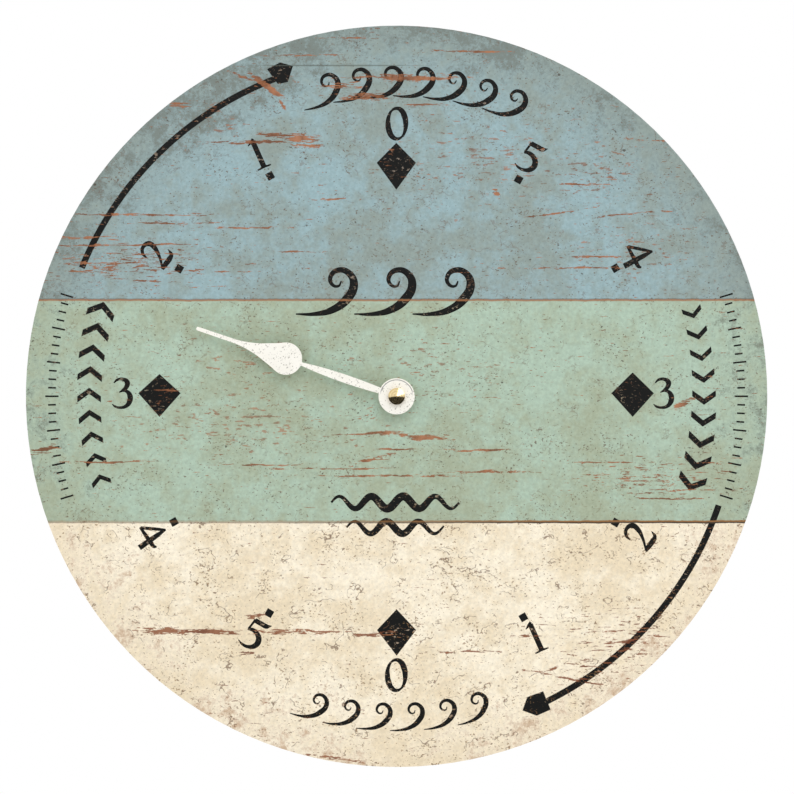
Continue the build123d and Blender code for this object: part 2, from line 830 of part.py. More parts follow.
def case_rear():
    """Cover of the train chamber, with the knob's pocket sunk into it."""
    cover = plate(case_outline(), 0, cover_thickness) & cover_reach(cover_clearance)
    side = half_width - cover_clearance
    low_v, high_v = partition_top + cover_clearance, chamber_top - cover_clearance
    lip = rounded(-side, side, low_v, high_v, chamber_corner_radius)
    inner = side - cover_lip_wall
    lip -= Pos(0, (low_v + high_v) / 2) * Rectangle(2 * inner, high_v - low_v - 2 * cover_lip_wall)
    for corner in cover_posts:
        lip -= Pos(*corner) * Circle(cover_post_radius + cover_clearance)
    cover += plate(lip, cover_thickness, cover_thickness + cover_lip)
    cover += disc(pocket_outer, 0, pocket_depth + pocket_floor, knob_at)
    cover -= disc(pocket_radius, -overrun, pocket_depth, knob_at)
    cover -= disc(knob_arbor_radius + running_clearance, 0, pocket_depth + pocket_floor + overrun, knob_at)
    for corner in cover_posts:
        cover -= disc(screw_head_radius + cover_clearance, -overrun, cover_head_recess, corner)
        cover -= pilot(corner, -overrun, cover_thickness + overrun)
    return cover


def cover_screws():
    return [screw(corner, cover_head_recess, screw_length) for corner in cover_posts]


# Battery and contacts


def along_bay(radius, left, right):
    """Cylinder on the battery's axis, between two places along u."""
    axis = Plane((left, *battery_at), x_dir=(0, 1, 0), z_dir=(1, 0, 0))
    return axis * Cylinder(radius, right - left, align=(Align.CENTER, Align.CENTER, Align.MIN))


def battery_cell():
    cell = along_bay(battery_diameter / 2, cell_left, cell_right)
    rims = cell.edges().group_by(Axis.X)
    return fillet(rims[0] + rims[-1], battery_edge_radius)


def battery_terminal():
    cap = along_bay(terminal_radius, cell_right, cell_right + terminal_height)
    return fillet(cap.edges().group_by(Axis.X)[-1], terminal_edge_radius)


def contact_foot(left, right):
    """Flat contact at one end of the bay, with its riser through the partition."""
    low_v, low_w = battery_at[0] - contact_height / 2, battery_at[1] - contact_width / 2
    foot = block(left, right, low_v, low_v + contact_height, low_w, low_w + contact_width)
    riser_top = partition_top + contact_strip_thickness
    return foot + block(left, right, battery_at[0], riser_top, strip_low, strip_low + contact_strip_width)


def contact_positive():
    contact = contact_foot(half_width - contact_thickness, half_width)
    strip_left = circuit_left + board_width - circuit_post_inset
    return contact + block(strip_left, half_width, partition_top, partition_top + contact_strip_thickness,
                           strip_low, strip_low + contact_strip_width)


def contact_negative():
    """Flat contact with a bowed leaf spring that pushes on the battery's flat end."""
    root = -half_width + contact_thickness
    crest = cell_left - contact_gap
    low_v, high_v = battery_at[0] - contact_height / 2, battery_at[0] + contact_height / 2
    outer = ThreePointArc((root, low_v), (crest, battery_at[0]), (root, high_v))
    inner = ThreePointArc((root, high_v - spring_thickness), (crest - spring_thickness, battery_at[0]),
                          (root, low_v + spring_thickness))
    leaf = make_face(Wire([outer, Line(outer @ 1, inner @ 0), inner, Line(inner @ 1, outer @ 0)]))
    low_w = battery_at[1] - spring_width / 2
    tail_low = partition_top + contact_strip_thickness
    tail_high = circuit_low + board_height / 2
    tail = block(-half_width, root, tail_low, tail_high, strip_low, strip_low + contact_strip_width)
    return contact_foot(-half_width, root) + plate(leaf, low_w, low_w + spring_width) + tail


def hang(shape):
    """Turn a piece from the bench to the wall: w becomes -Y and v becomes +Z."""
    return Plane.XZ * shape


PIECES = [
    dial_board, dial_print, threaded_bush, front_washer, fixing_nut, rubber_washer, hanger_plate,
    tide_hand, hand_bush, cap_nut, hand_shaft,
    setting_wheel, tide_wheel, clutch_spring, clutch_ring, third_wheel, second_wheel, first_wheel,
    rotor_pinion, rotor_magnet, setting_pinion, setting_knob,
    stator, coil_core, coil_bobbin, coil_winding, motor_screws,
    circuit_board, quartz_crystal, chip_cover,
    train_bridge, bridge_screws, case_front, case_rear, cover_screws,
    battery_cell, battery_terminal, contact_positive, contact_negative,
]


def main():
    os.makedirs("parts", exist_ok=True)
    for piece in PIECES:
        made = piece()
        shapes = made if isinstance(made, list) else [made]
        solids = [solid for shape in shapes for solid in hang(shape).solids()]
        whole = solids[0] if len(solids) == 1 else Compound(children=solids)
        export_step(whole, f"parts/{piece.__name__}.step")
    arbors = {"third": third_at, "second": second_at, "first": first_at, "rotor": rotor_at, "knob": knob_at}
    for name, (u, v) in arbors.items():
        print(f"{name} arbor at {u:.4f}, {v:.4f}")
    print(f"case {2 * case_half:.2f} by {case_top - case_bottom:.2f} by {case_depth:.2f}")
    keyhole = case_top + hanger_case_gap + hanger_thickness + eye_height
    print(f"keyhole at {keyhole:.3f} above the hand's axis")
    print(f"battery axis at {battery_at[0]:.3f} up and {battery_at[1]:.3f} out of the wall")
    print(f"front of the cap nut {nut_seat + cap_nut_height:.2f} out of the wall")


main()
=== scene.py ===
from math import atan2, cos, degrees, log2, pi, radians, sin, sqrt

import bmesh
import bpy
from mathutils import Matrix, Vector


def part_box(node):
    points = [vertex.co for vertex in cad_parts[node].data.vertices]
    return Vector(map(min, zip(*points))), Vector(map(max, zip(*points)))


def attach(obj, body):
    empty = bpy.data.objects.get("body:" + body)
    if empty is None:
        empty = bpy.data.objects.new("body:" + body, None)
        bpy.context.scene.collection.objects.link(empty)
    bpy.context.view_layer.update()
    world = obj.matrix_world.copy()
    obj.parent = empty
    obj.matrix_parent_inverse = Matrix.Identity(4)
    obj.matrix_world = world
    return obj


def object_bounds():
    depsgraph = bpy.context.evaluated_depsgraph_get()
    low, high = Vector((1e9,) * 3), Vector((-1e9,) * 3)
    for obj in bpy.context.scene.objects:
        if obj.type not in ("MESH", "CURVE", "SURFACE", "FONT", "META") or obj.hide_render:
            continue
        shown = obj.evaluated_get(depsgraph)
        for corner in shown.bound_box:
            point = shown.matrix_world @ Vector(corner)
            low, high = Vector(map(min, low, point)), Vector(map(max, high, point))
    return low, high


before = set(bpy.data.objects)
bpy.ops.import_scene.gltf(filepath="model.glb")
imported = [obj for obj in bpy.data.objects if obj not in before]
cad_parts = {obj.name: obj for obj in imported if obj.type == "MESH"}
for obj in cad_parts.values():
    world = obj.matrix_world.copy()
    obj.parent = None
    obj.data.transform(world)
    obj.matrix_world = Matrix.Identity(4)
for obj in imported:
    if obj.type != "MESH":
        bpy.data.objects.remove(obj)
cad_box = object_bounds()

# Places on the dial are millimetres right of and above the hand's axis
MM = 0.001
DIAL_RADIUS = 133.35
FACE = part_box("dial_print")[0][1]
INK_DEPTH = 0.03 * MM
MERGE = INK_DEPTH / 10
# A surface that takes print: its level along the depth, and the step out of it that the ink stands
DIAL_FRONT = (FACE, -INK_DEPTH)

# The picture: its width in pixels, and the place and radius of the dial in it
PICTURE = 794
DIAL_IN_PICTURE = (396.6, 396.3)
DIAL_PIXELS = 370.7
# The camera: its distance from the dial in metres, and the width of its sensor in millimetres
CAMERA_DISTANCE = 3.0
SENSOR = 36.0

# The studio is in metres. The floor: its radius, how far below the clock it lies and its corners
FLOOR_RADIUS = 0.75
FLOOR_DROP = 0.06
FLOOR_CORNERS = 96
# Black card below the lens: half its width, then its near and far edges before the wall and above the axis
FLAG_HALF = 0.8
FLAG_NEAR = (0.06, -0.17)
FLAG_FAR = (0.60, -0.005)
# White card at the upper right: its middle before the dial, half its size and how brightly it shines
CARD_PLACE = (0.48, -0.33, 0.50)
CARD_HALF = 0.36
CARD_SHINE = 2.4
# Soft lamps: place, width and watts
LAMPS = {
    "key_lamp": ((0.5, -1.9, 1.3), 2.2, 6.4),
    "fill_lamp": ((-1.2, -1.9, 0.1), 2.2, 6.0),
    "highlight_lamp": ((0.35, -1.5, 1.0), 0.4, 2.4),
    "rear_lamp": ((0.8, 1.8, 1.2), 1.2, 20.0),
}
# Strength of the white world as a light, and where the camera, metal or glass shows it
WORLD_LIGHT = 0.80
WORLD_SEEN = 1.0

# Three painted boards: their dark and light tones, their seams, and how ragged and how soft those are
BOARD_TONES = {
    "blue": ("#8f9d98", "#98b3b9"), "green": ("#a5b098", "#aec4b2"), "cream": ("#eadabd", "#fbf1dc"),
}
UPPER_SEAM = 34.6
LOWER_SEAM = -45.2
SEAM_RAGGED = 1.2
SEAM_BLUR = 0.2
# Lines in the seams: height, half width, tone, and how strong they are at the left and at the right
SEAM_LINES = [
    (UPPER_SEAM + 0.40, 0.30, "#4d4d44", 0.50, 0.50), (UPPER_SEAM, 0.48, "#a06a42", 0.82, 0.82),
    (LOWER_SEAM + 0.15, 0.55, "#94693f", 0.30, 1.0), (LOWER_SEAM - 0.25, 0.36, "#4a3d2f", 0.50, 1.0),
]
# Fine groove near the top: its middle (right, up), half length and half height
GROOVE = (-22.0, 119.0, 40.0, 0.4)
# Grime: how far a cloud carries it out, and the reach with that added at which it starts and is thickest
GRIME_CARRY = 90.0
GRIME_START = 140.0
GRIME_END = 188.0
# Pin-holes and specks: size, threshold, tone on the blue and green, and tone on the cream
PIN_HOLES = [(0.62, 0.850, "#6b5a4b", "#92734f"), (1.35, 0.893, "#463b30", "#66492f")]
# Painted shade line on the upper half of the hand's hub, standing for its shadowed edge: its radius, half its
# width, and the heights where it fades in
HUB_SHADE_RING = 5.9
HUB_SHADE_HALF = 0.26
HUB_SHADE_RISE = (0.5, 2.5)

# Bare wood: middle (right, up), half length, half height, slope in degrees and how far the paint has gone
STREAKED_PLACES = [
    (-35.3, 92.8, 14, 3.0, -3, 0.93), (-43.5, 93.8, 10, 1.7, -6, 0.92),
    (-52, 91.4, 24, 1.5, 3, 0.85), (4, 114.6, 24, 2, 1.5, 1.02),
    (-22, 111.6, 14, 2.4, 6, 0.72), (-12, 107.6, 24, 2.4, 2, 0.8), (10, 104.8, 18, 0.94, -4, 0.78),
    (-56.5, 115.4, 9, 1.1, -20, 0.8), (-79, 105, 6, 1.9, 0, 0.8), (27, 124, 32, 0.86, 1.5, 0.8),
    (-38, 122.8, 32, 0.78, 0.5, 0.78), (-96, 65.3, 52, 0.86, -0.8, 0.76), (-82, 62.2, 30, 0.94, -1, 0.74),
    (-52, 60.6, 36, 0.86, 2, 0.74), (-112, 57.4, 24, 0.94, 1, 0.76), (-98, 54.6, 40, 0.86, 1, 0.76),
    (36, 73, 3, 1.8, -60, 0.95), (58, 66, 24, 0.7, 9, 0.76), (84, 65.6, 30, 0.78, 5, 0.78),
    (64, 46, 34, 0.7, 0, 0.72), (-96, 48, 50, 16, 0, 0.46), (-6, -13.6, 16, 1.4, -4, 0.86),
    (10, -15, 12, 2, -3, 0.89), (0, -19.2, 22, 1.01, 1, 0.82), (-8, -22.6, 12, 1.7, 12, 0.84),
    (30, -19.4, 30, 0.86, -2, 0.78), (34, -27.2, 36, 0.94, 1.5, 0.82), (-4, -28.6, 56, 0.78, 0.8, 0.76),
    (70, -23.6, 34, 0.78, 3, 0.74), (104, -34, 34, 0.86, 0, 0.76), (96, -37, 34, 0.78, 0, 0.74),
    (112, -24, 18, 0.86, 3, 0.74), (102.5, -2.6, 6, 1.9, 24, 0.93), (-104, -23.6, 22, 0.86, 4, 0.76),
    (-126, -19, 10, 2.2, 14, 0.86), (-82.5, 2, 7, 1.2, 4, 0.8), (92, -30, 46, 14, 0, 0.42),
    (-83, -84.6, 16, 2.1, -1, 0.98), (-66, -84.8, 12, 2, 1, 0.93), (-36, -84.6, 22, 1.8, 0, 0.86),
    (-10, -85.6, 22, 1.4, -1, 0.76), (-51, -79, 7, 1.4, 6, 0.84), (-54, -92.2, 5, 1.5, 4, 0.86),
    (46, -86.4, 14, 1.3, 4, 0.76), (74, -84.4, 18, 0.86, 3, 0.78), (62, -101.4, 22, 0.86, -10, 0.8),
    (56, -98, 6, 1.1, 24, 0.82), (-24, -130, 26, 2.4, -6, 0.6), (78, -90, 34, 22, 10, 0.4),
    (-47, 112, 12, 1.6, -36, 1.35), (-41, 105, 5, 1, -56, 1.1), (-20, 129, 26, 0.78, 0, 0.62),
    (-38, 51.8, 22, 0.7, 0, 0.68), (-22, 71, 12, 1, -4, 0.68), (68, 76.5, 22, 0.7, -3, 0.66),
    (76, 50, 32, 0.7, 1, 0.7), (98, 92, 20, 0.86, 4, 0.66), (-46, -24.6, 34, 0.7, 1, 0.68),
    (88, -30.6, 30, 0.7, 0, 0.72), (24, -92, 22, 0.86, 0, 0.7), (84, -88, 22, 0.78, 8, 0.76),
    (-31.2, 90.0, 9, 1.1, 2, 0.82), (-24, -26, 30, 0.62, 2, 0.72), (-70, 45, 30, 0.62, 0, 0.66),
]
FLECKED_PLACES = [
    (-60, 96.6, 13, 3.6, -12, 0.5), (-62, 101, 14, 4.2, -24, 0.42), (34, 86, 70, 30, 0, 0.36),
    (72, 80, 62, 24, 0, 0.36), (86, 54, 62, 22, 0, 0.35), (-56, -10, 68, 22, 4, 0.39),
    (-54, 12, 59, 24, 0, 0.32), (10, 10, 68, 27, 0, 0.31),
]
# How fine the grain is along and across the boards, per millimetre, and how much each grain counts
STREAK_GRAINS = [(0.05, 1.2, 1.3), (0.20, 1.5, 2.0), (0.8, 2.2, 0.9)]
FLECK_GRAINS = [(0.16, 0.75, 2.0), (0.45, 1.3, 1.3)]
# How much of the paint goes at most, and what stands for paint that is whole
STREAK_MOST = 0.95
FLECK_MOST = 0.68
WHOLE_PAINT = -1.0
# Leans up to this many degrees lie along the boards, and the grain sways by this many millimetres
LEAST_LEAN = 4
GRAIN_SWAY = 1.9

# Sizes of the patterns in millimetres, each about the width of one cloud, speck or line
CLOUD_SIZE = 40
BLOTCH_SIZE = 7
PAINT_GRAIN = 1.3
GRIME_PATCH = 7
INK_FLAKE = 0.95
SPECK_CLUSTER = 12
CRACK_SIZE = 7
CRACK_LENGTH = 4.5
WOOD_WAVE = 22
ENAMEL_CLOUD = 7
ENAMEL_SPECK = 0.6
BRASS_STAIN = 1.5
BOARD_FIBRE = 0.5
BOARD_CLOUD = 35
PLATING_BLOOM = 3
PLASTIC_CLOUD = 6
SLEEVE_SCUFF = 1.2
# These are too fine to show at their real size, so they are drawn coarser, as coarse as they need to show
PRINT_TOOTH = 0.8
TOOL_RING = 0.9
ROLLING_LINE = 0.8
WIRE_TURN = 0.9
SIGN_WEAR = 0.8
MOULD_GRAIN = 1.2
FINE_GRAIN = 0.9
# Spacing of the waves of a wave texture at a scale of 1
WAVE_SPACING = 2 * pi / 20
# Pale band at the battery's plus end: its share of the length, and how soft its edge is
BAND_SHARE = 0.14
BAND_BLUR = 0.1

# Marks printed on the dial, in millimetres: places are (right, up), leans are degrees clockwise
NUMERAL_HEIGHT = 11.8
NUMERALS = [
    ("0", (0.1, 98.1), 0), ("1", (-49.9, 87.5), -24), ("2", (-86.3, 51.5), -53), ("3", (-99.0, 1.1), 0),
    ("4", (-88.8, -50.0), 55), ("5", (-51.7, -85.4), 29), ("0", (-0.1, -100.3), 0), ("1", (50.0, -86.3), -24),
    ("2", (87.6, -49.9), -53), ("3", (95.7, 1.1), 0), ("4", (86.1, 50.8), 62), ("5", (47.7, 86.1), 28),
]
SQUARES = [
    (43.9, 78.0), (78.7, 46.1), (78.8, -45.4), (45.6, -79.5),
    (-45.8, -78.0), (-80.1, -45.2), (-78.2, 45.9), (-45.5, 79.3),
]
SQUARE_HALF = 1.33
# Diamonds: widest place (right, up), half width there, and height above and below it
DIAMONDS = [
    (-0.1, 84.0, 7.05, 7.2, 9.7), (0.0, -84.1, 7.05, 7.5, 9.2),
    (-85.3, 1.1, 7.6, 6.9, 8.5), (84.9, 1.1, 7.65, 7.5, 8.5),
]
# Arc arrows: ring, half width, spans in degrees clockwise from the top, and the corners of the heads
ARROW_RING = 122.3
ARROW_HALF = 1.13
ARROW_STEPS = 64
ARROW_SPANS = [(-67.8, -21.0), (108.7, 154.6)]
ARROW_HEADS = [
    [(-46.6, 117.7), (-41.9, 120.1), (-37.3, 118.8), (-39.1, 113.1), (-42.7, 112.3)],
    [(45.3, -113.0), (47.0, -108.2), (52.7, -106.1), (55.4, -112.7), (50.4, -114.9)],
]
# Rows round the dial: from and to, in degrees clockwise from the top, count, ring and height or size.
# A wave border also says whether its waves stand towards the middle
WAVE_BORDERS = [(-15.5, 24.5, 7, 113.0, 12.0, False), (162.5, 197.5, 6, 115.4, 10.4, True)]
CHEVRON_ROWS = [(-108.0, -72.0, 9, 110.6, 5.0), (72.0, 108.0, 9, 110.6, 5.0)]
# A chevron's corners (outwards, onwards) in shares of its size, and the smallest one's share of the largest
CHEVRON_SHARES = [(-1.0, 0.0), (0.0, 0.72), (1.0, 0.0), (1.0, -0.52), (0.0, 0.20), (-1.0, -0.52)]
CHEVRON_LEAST_SHARE = 0.70
TICK_ROWS = [(-107.0, -73.0, 25), (73.0, 107.0, 25)]
# Ticks: their ring, half lengths and half width, and how many there are to each long one
TICK_RING = 124.0
TICK_LONG, TICK_SHORT, TICK_HALF = 2.4, 1.4, 0.3
TICK_GROUP = 4
# Ornament about the axis: waves (right, up, height), and ripples (from, to, up, half width)
CENTRE_WAVES = [(-21.5, 37.5, 18.0), (-0.5, 37.5, 18.0), (20.5, 37.5, 18.0)]
CENTRE_LINES = [(-23.5, 22.5, -38.2, 1.5), (-18.0, 17.0, -47.2, 1.3)]
RIPPLE_LENGTH = 11.5
RIPPLE_HEIGHT = 2.2
RIPPLE_STEPS = 12
RIPPLE_THIN_SHARE = 0.25

# Signs printed on the back of the case, in millimetres and degrees, as seen from the front
CASE_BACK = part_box("case_rear")[1][1]
CASE_REAR = (CASE_BACK, INK_DEPTH)
KNOB_LOW, KNOB_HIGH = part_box("setting_knob")
SIGN_HALF = 0.4
SIGN_REACH = 1.6
POLE_SIGNS = [((18.6, -7.9), True), ((-20, -7.9), False)]
TURN_RING = 11.0
TURN_SPAN = 100
TURN_STEPS = 24
TURN_HEAD = 1.5
TURN_TIP = 15

# Strokes of each mark in shares of its height: (right, up, half width) along the stroke
STROKE_SHARES = {
    "1": [[(0.22, 0.03, 0.082), (0.22, 0.50, 0.080), (0.22, 0.90, 0.080)],
          [(0.26, 0.955, 0.042), (0.16, 0.885, 0.046), (0.03, 0.81, 0.012)],
          [(0.0, 0.022, 0.022), (0.12, 0.030, 0.030), (0.22, 0.055, 0.055), (0.32, 0.030, 0.030),
           (0.44, 0.022, 0.022)]],
    "2": [[(0.02, 0.66, 0.026), (0.06, 0.84, 0.050), (0.24, 0.945, 0.058), (0.41, 0.86, 0.084),
           (0.42, 0.68, 0.076), (0.29, 0.38, 0.046), (0.06, 0.08, 0.030)],
          [(0.03, 0.070, 0.050), (0.22, 0.080, 0.082), (0.42, 0.084, 0.084), (0.56, 0.12, 0.055),
           (0.60, 0.22, 0.030), (0.62, 0.30, 0.006)]],
    "3": [[(0.06, 0.815, 0.018), (0.17, 0.912, 0.040), (0.34, 0.927, 0.052), (0.465, 0.836, 0.082),
           (0.44, 0.69, 0.070), (0.34, 0.596, 0.048), (0.22, 0.526, 0.014)],
          [(0.32, 0.572, 0.026), (0.45, 0.558, 0.052), (0.55, 0.423, 0.084), (0.54, 0.25, 0.082),
           (0.43, 0.107, 0.056), (0.24, 0.063, 0.040), (0.09, 0.102, 0.034), (0.01, 0.170, 0.012)]],
    "4": [[(0.47, 0.02, 0.086), (0.47, 0.20, 0.084), (0.47, 0.42, 0.080), (0.47, 0.70, 0.072),
           (0.47, 1.0, 0.034)],
          [(0.48, 0.985, 0.038), (0.28, 0.75, 0.050), (0.0, 0.41, 0.050)],
          [(-0.03, 0.40, 0.040), (0.29, 0.40, 0.060), (0.53, 0.40, 0.070), (0.69, 0.41, 0.056),
           (0.75, 0.47, 0.026)]],
    "5": [[(0.15, 0.889, 0.074), (0.38, 0.889, 0.076), (0.55, 0.895, 0.076), (0.68, 0.985, 0.008)],
          [(0.155, 0.922, 0.040), (0.13, 0.75, 0.034), (0.10, 0.577, 0.034)],
          [(0.08, 0.562, 0.040), (0.24, 0.601, 0.062), (0.43, 0.543, 0.078), (0.55, 0.375, 0.092),
           (0.51, 0.193, 0.080), (0.35, 0.082, 0.054), (0.15, 0.068, 0.040), (-0.01, 0.130, 0.012)]],
    "wave": [[(-0.82, 0.06, 0.014), (-0.46, 0.06, 0.040), (-0.10, 0.14, 0.070), (0.20, 0.36, 0.094),
              (0.34, 0.64, 0.086), (0.25, 0.87, 0.066), (0.04, 0.94, 0.054), (-0.12, 0.82, 0.046),
              (-0.10, 0.66, 0.036), (0.03, 0.62, 0.026), (0.09, 0.72, 0.014)]],
}
NUMERAL_MIDDLE_SHARES = {"0": 0.36, "1": 0.22, "2": 0.32, "3": 0.29, "4": 0.34, "5": 0.29}
# A nought: half its width and height, its least half stroke and what its sides add to that, in shares
NOUGHT_SHARES = (0.295, 0.465, 0.032, 0.058)
# Its points, how many degrees its thickest places are turned, and how fast it thickens towards them
NOUGHT_STEPS = 12
NOUGHT_STRESS = 30
NOUGHT_SWELL = 1.5
CURVE_STEPS = 10

# Sockets by number: a range turns START to END into LOW to HIGH, and a mix lays OVER on UNDER by its SHARE
VALUE, START, END, LOW, HIGH = range(5)
SHARE, UNDER, OVER = 0, 6, 7
MIXED = 2
# Kinds of node that have the same settings everywhere: ranges are smooth steps, and mixes are of colours
NODE_SETTINGS = {
    "MapRange": {"interpolation_type": "SMOOTHSTEP", "clamp": False},
    "Mix": {"data_type": "RGBA"},
}


def linear(colour):
    """Linear colour of an sRGB hex value."""
    parts = [int(colour[place:place + 2], 16) / 255 for place in (1, 3, 5)]
    return [part / 12.92 if part <= 0.04045 else ((part + 0.055) / 1.055) ** 2.4 for part in parts] + [1.0]


def add(tree, kind, inputs=None, **settings):
    """New shader node of a kind, with its settings, its values and its links; gives its outputs."""
    node = tree.nodes.new("ShaderNode" + kind)
    for name, value in {**NODE_SETTINGS.get(kind, {}), **settings}.items():
        setattr(node, name, value)
    for socket, value in (inputs or {}).items():
        if isinstance(value, bpy.types.NodeSocket):
            tree.links.new(value, node.inputs[socket])
        else:
            node.inputs[socket].default_value = value
    return node.outputs


def material(name):
    """Node material with its shader joined to its output; gives the material, its tree and the shader."""
    made = bpy.data.materials.new(name)
    made.use_nodes = True
    tree = made.node_tree
    return made, tree, tree.nodes["Principled BSDF"]


def millimetres(tree, stretch=(1, 1, 1), shift=(0, 0, 0)):
    """Object coordinates in millimetres, stretched along the axes where a pattern runs one way."""
    place = add(tree, "TexCoord")["Object"]
    scale = [share / MM for share in stretch]
    return add(tree, "Mapping", {"Vector": place, "Scale": scale, "Location": shift})[0]


# Finish of the dial, layer by layer


def paint_field(tree):
    """What every layer follows: places in millimetres, soft clouds, blotches and where each board lies."""
    place = millimetres(tree)
    across, _, height = add(tree, "SeparateXYZ", {0: place})
    cloud = add(tree, "TexNoise", {
        "Vector": place, "Scale": 1 / CLOUD_SIZE, "Detail": 4, "Roughness": 0.6})[0]
    blotch = add(tree, "TexNoise", {
        "Vector": place, "Scale": 1 / BLOTCH_SIZE, "Detail": 5, "Roughness": 0.7})[0]
    ragged = add(tree, "Math", {
        0: blotch, 1: SEAM_RAGGED, 2: -SEAM_RAGGED / 2}, operation="MULTIPLY_ADD")[0]
    edge = add(tree, "Math", {0: height, 1: ragged}, operation="ADD")[0]
    upper = add(tree, "MapRange", {
        VALUE: edge, START: UPPER_SEAM - SEAM_BLUR, END: UPPER_SEAM + SEAM_BLUR})[0]
    lower = add(tree, "MapRange", {
        VALUE: edge, START: LOWER_SEAM + SEAM_BLUR, END: LOWER_SEAM - SEAM_BLUR})[0]
    return {"place": place, "across": across, "edge": edge, "cloud": cloud, "blotch": blotch,
            "upper": upper, "lower": lower}


def mottled_boards(tree, field):
    """Blue, green and cream paint, each mottled between two tones and finely grained."""
    mottle = add(tree, "Math", {0: field["cloud"], 1: 0.5}, operation="MULTIPLY")[0]
    mottle = add(tree, "Math", {0: field["blotch"], 1: 0.5, 2: mottle}, operation="MULTIPLY_ADD")[0]
    mottle = add(tree, "MapRange", {VALUE: mottle, START: 0.40, END: 0.60})[0]
    paint = {
        name: add(tree, "Mix", {SHARE: mottle, UNDER: linear(dark), OVER: linear(light)})[MIXED]
        for name, (dark, light) in BOARD_TONES.items()
    }
    colour = add(tree, "Mix", {SHARE: field["upper"], UNDER: paint["green"], OVER: paint["blue"]})[MIXED]
    colour = add(tree, "Mix", {SHARE: field["lower"], UNDER: colour, OVER: paint["cream"]})[MIXED]
    grain = add(tree, "TexNoise", {
        "Vector": field["place"], "Scale": 1 / PAINT_GRAIN, "Detail": 3, "Roughness": 0.75})[0]
    grain = add(tree, "MapRange", {VALUE: grain, START: 0.3, END: 0.7, LOW: 0.91, HIGH: 1.08})[0]
    return add(tree, "VectorMath", {0: colour, "Scale": grain}, operation="SCALE")[0]


def rim_grime(tree, field, colour):
    """Grey grime in blotches, brown on the cream, thicker towards the rim."""
    flat = add(tree, "VectorMath", {0: field["place"], 1: (1, 0, 1)}, operation="MULTIPLY")[0]
    reach = add(tree, "VectorMath", {0: flat}, operation="LENGTH")["Value"]
    reach = add(tree, "Math", {
        0: field["cloud"], 1: GRIME_CARRY, 2: reach}, operation="MULTIPLY_ADD")[0]
    most = add(tree, "MapRange", {VALUE: field["upper"], LOW: 0.19, HIGH: 0.27})[0]
    rim = add(tree, "MapRange", {VALUE: reach, START: GRIME_START, END: GRIME_END, HIGH: most})[0]
    patch = add(tree, "TexNoise", {
        "Vector": field["place"], "Scale": 1 / GRIME_PATCH, "Detail": 8, "Roughness": 0.82})[0]
    patch = add(tree, "Math", {0: patch, 1: rim}, operation="ADD")[0]
    patch = add(tree, "MapRange", {VALUE: patch, START: 0.62, END: 0.81, HIGH: 0.74})[0]
    tone = add(tree, "Mix", {
        SHARE: field["lower"], UNDER: linear("#6d6e61"), OVER: linear("#b99470")})[MIXED]
    return add(tree, "Mix", {SHARE: patch, UNDER: colour, OVER: tone})[MIXED]


def flaked_ink(tree, field, colour):
    """Black ink, flaked off in short dashes along the boards that show a tan stain."""
    flake = add(tree, "TexNoise", {
        "Vector": millimetres(tree, (0.5, 1, 1)), "Scale": 1 / INK_FLAKE, "Detail": 3, "Roughness": 0.62})[0]
    flake = add(tree, "MapRange", {VALUE: flake, START: 0.605, END: 0.66})[0]
    where = add(tree, "MapRange", {VALUE: field["blotch"], START: 0.45, END: 0.55, HIGH: 0.70})[0]
    flake = add(tree, "Math", {0: flake, 1: where}, operation="MULTIPLY")[0]
    stain = add(tree, "Mix", {SHARE: 0.7, UNDER: colour, OVER: linear("#a8876b")})[MIXED]
    return add(tree, "Mix", {SHARE: flake, UNDER: linear("#131413"), OVER: stain})[MIXED]


def pin_holes(tree, field, colour):
    """Brown pin-holes and specks, thicker in some places than in others and a little thicker in the cream."""
    thick = add(tree, "TexNoise", {"Vector": field["place"], "Scale": 1 / SPECK_CLUSTER, "Detail": 4})[0]
    for size, threshold, dark, brown in PIN_HOLES:
        speck = add(tree, "TexNoise", {
            "Vector": millimetres(tree, (0.8, 1, 1), (size, size, size)), "Scale": 1 / size, "Detail": 1})[0]
        speck = add(tree, "Math", {0: thick, 1: 0.34, 2: speck}, operation="MULTIPLY_ADD")[0]
        speck = add(tree, "Math", {
            0: field["lower"], 1: 0.014, 2: speck}, operation="MULTIPLY_ADD")[0]
        speck = add(tree, "MapRange", {
            VALUE: speck, START: threshold, END: threshold + 0.06, HIGH: 0.76})[0]
        tone = add(tree, "Mix", {SHARE: field["lower"], UNDER: linear(dark), OVER: linear(brown)})[MIXED]
        colour = add(tree, "Mix", {SHARE: speck, UNDER: colour, OVER: tone})[MIXED]
    return colour, thick


def crackle(tree, field, colour, thick):
    """Short broken hair cracks, plain in the cream paint and faint in the blue and the green."""
    crack = add(tree, "TexNoise", {
        "Vector": millimetres(tree, (0.8, 1, 1)), "Scale": 1 / CRACK_SIZE, "Detail": 3, "Roughness": 0.5})[0]
    crack = add(tree, "Math", {0: crack, 1: 0.5}, operation="SUBTRACT")[0]
    crack = add(tree, "Math", {0: crack}, operation="ABSOLUTE")[0]
    crack = add(tree, "MapRange", {VALUE: crack, START: 0.013, END: 0.002})[0]
    broken = add(tree, "TexNoise", {"Vector": field["place"], "Scale": 1 / CRACK_LENGTH, "Detail": 2})[0]
    broken = add(tree, "Math", {0: thick, 1: 0.5, 2: broken}, operation="MULTIPLY_ADD")[0]
    broken = add(tree, "MapRange", {VALUE: broken, START: 0.775, END: 0.84})[0]
    depth = add(tree, "MapRange", {VALUE: field["lower"], LOW: 0.35, HIGH: 0.75})[0]
    crack = add(tree, "Math", {0: crack, 1: broken}, operation="MULTIPLY")[0]
    crack = add(tree, "Math", {0: crack, 1: depth}, operation="MULTIPLY")[0]
    return add(tree, "Mix", {SHARE: crack, UNDER: colour, OVER: linear("#6b4d37")})[MIXED]


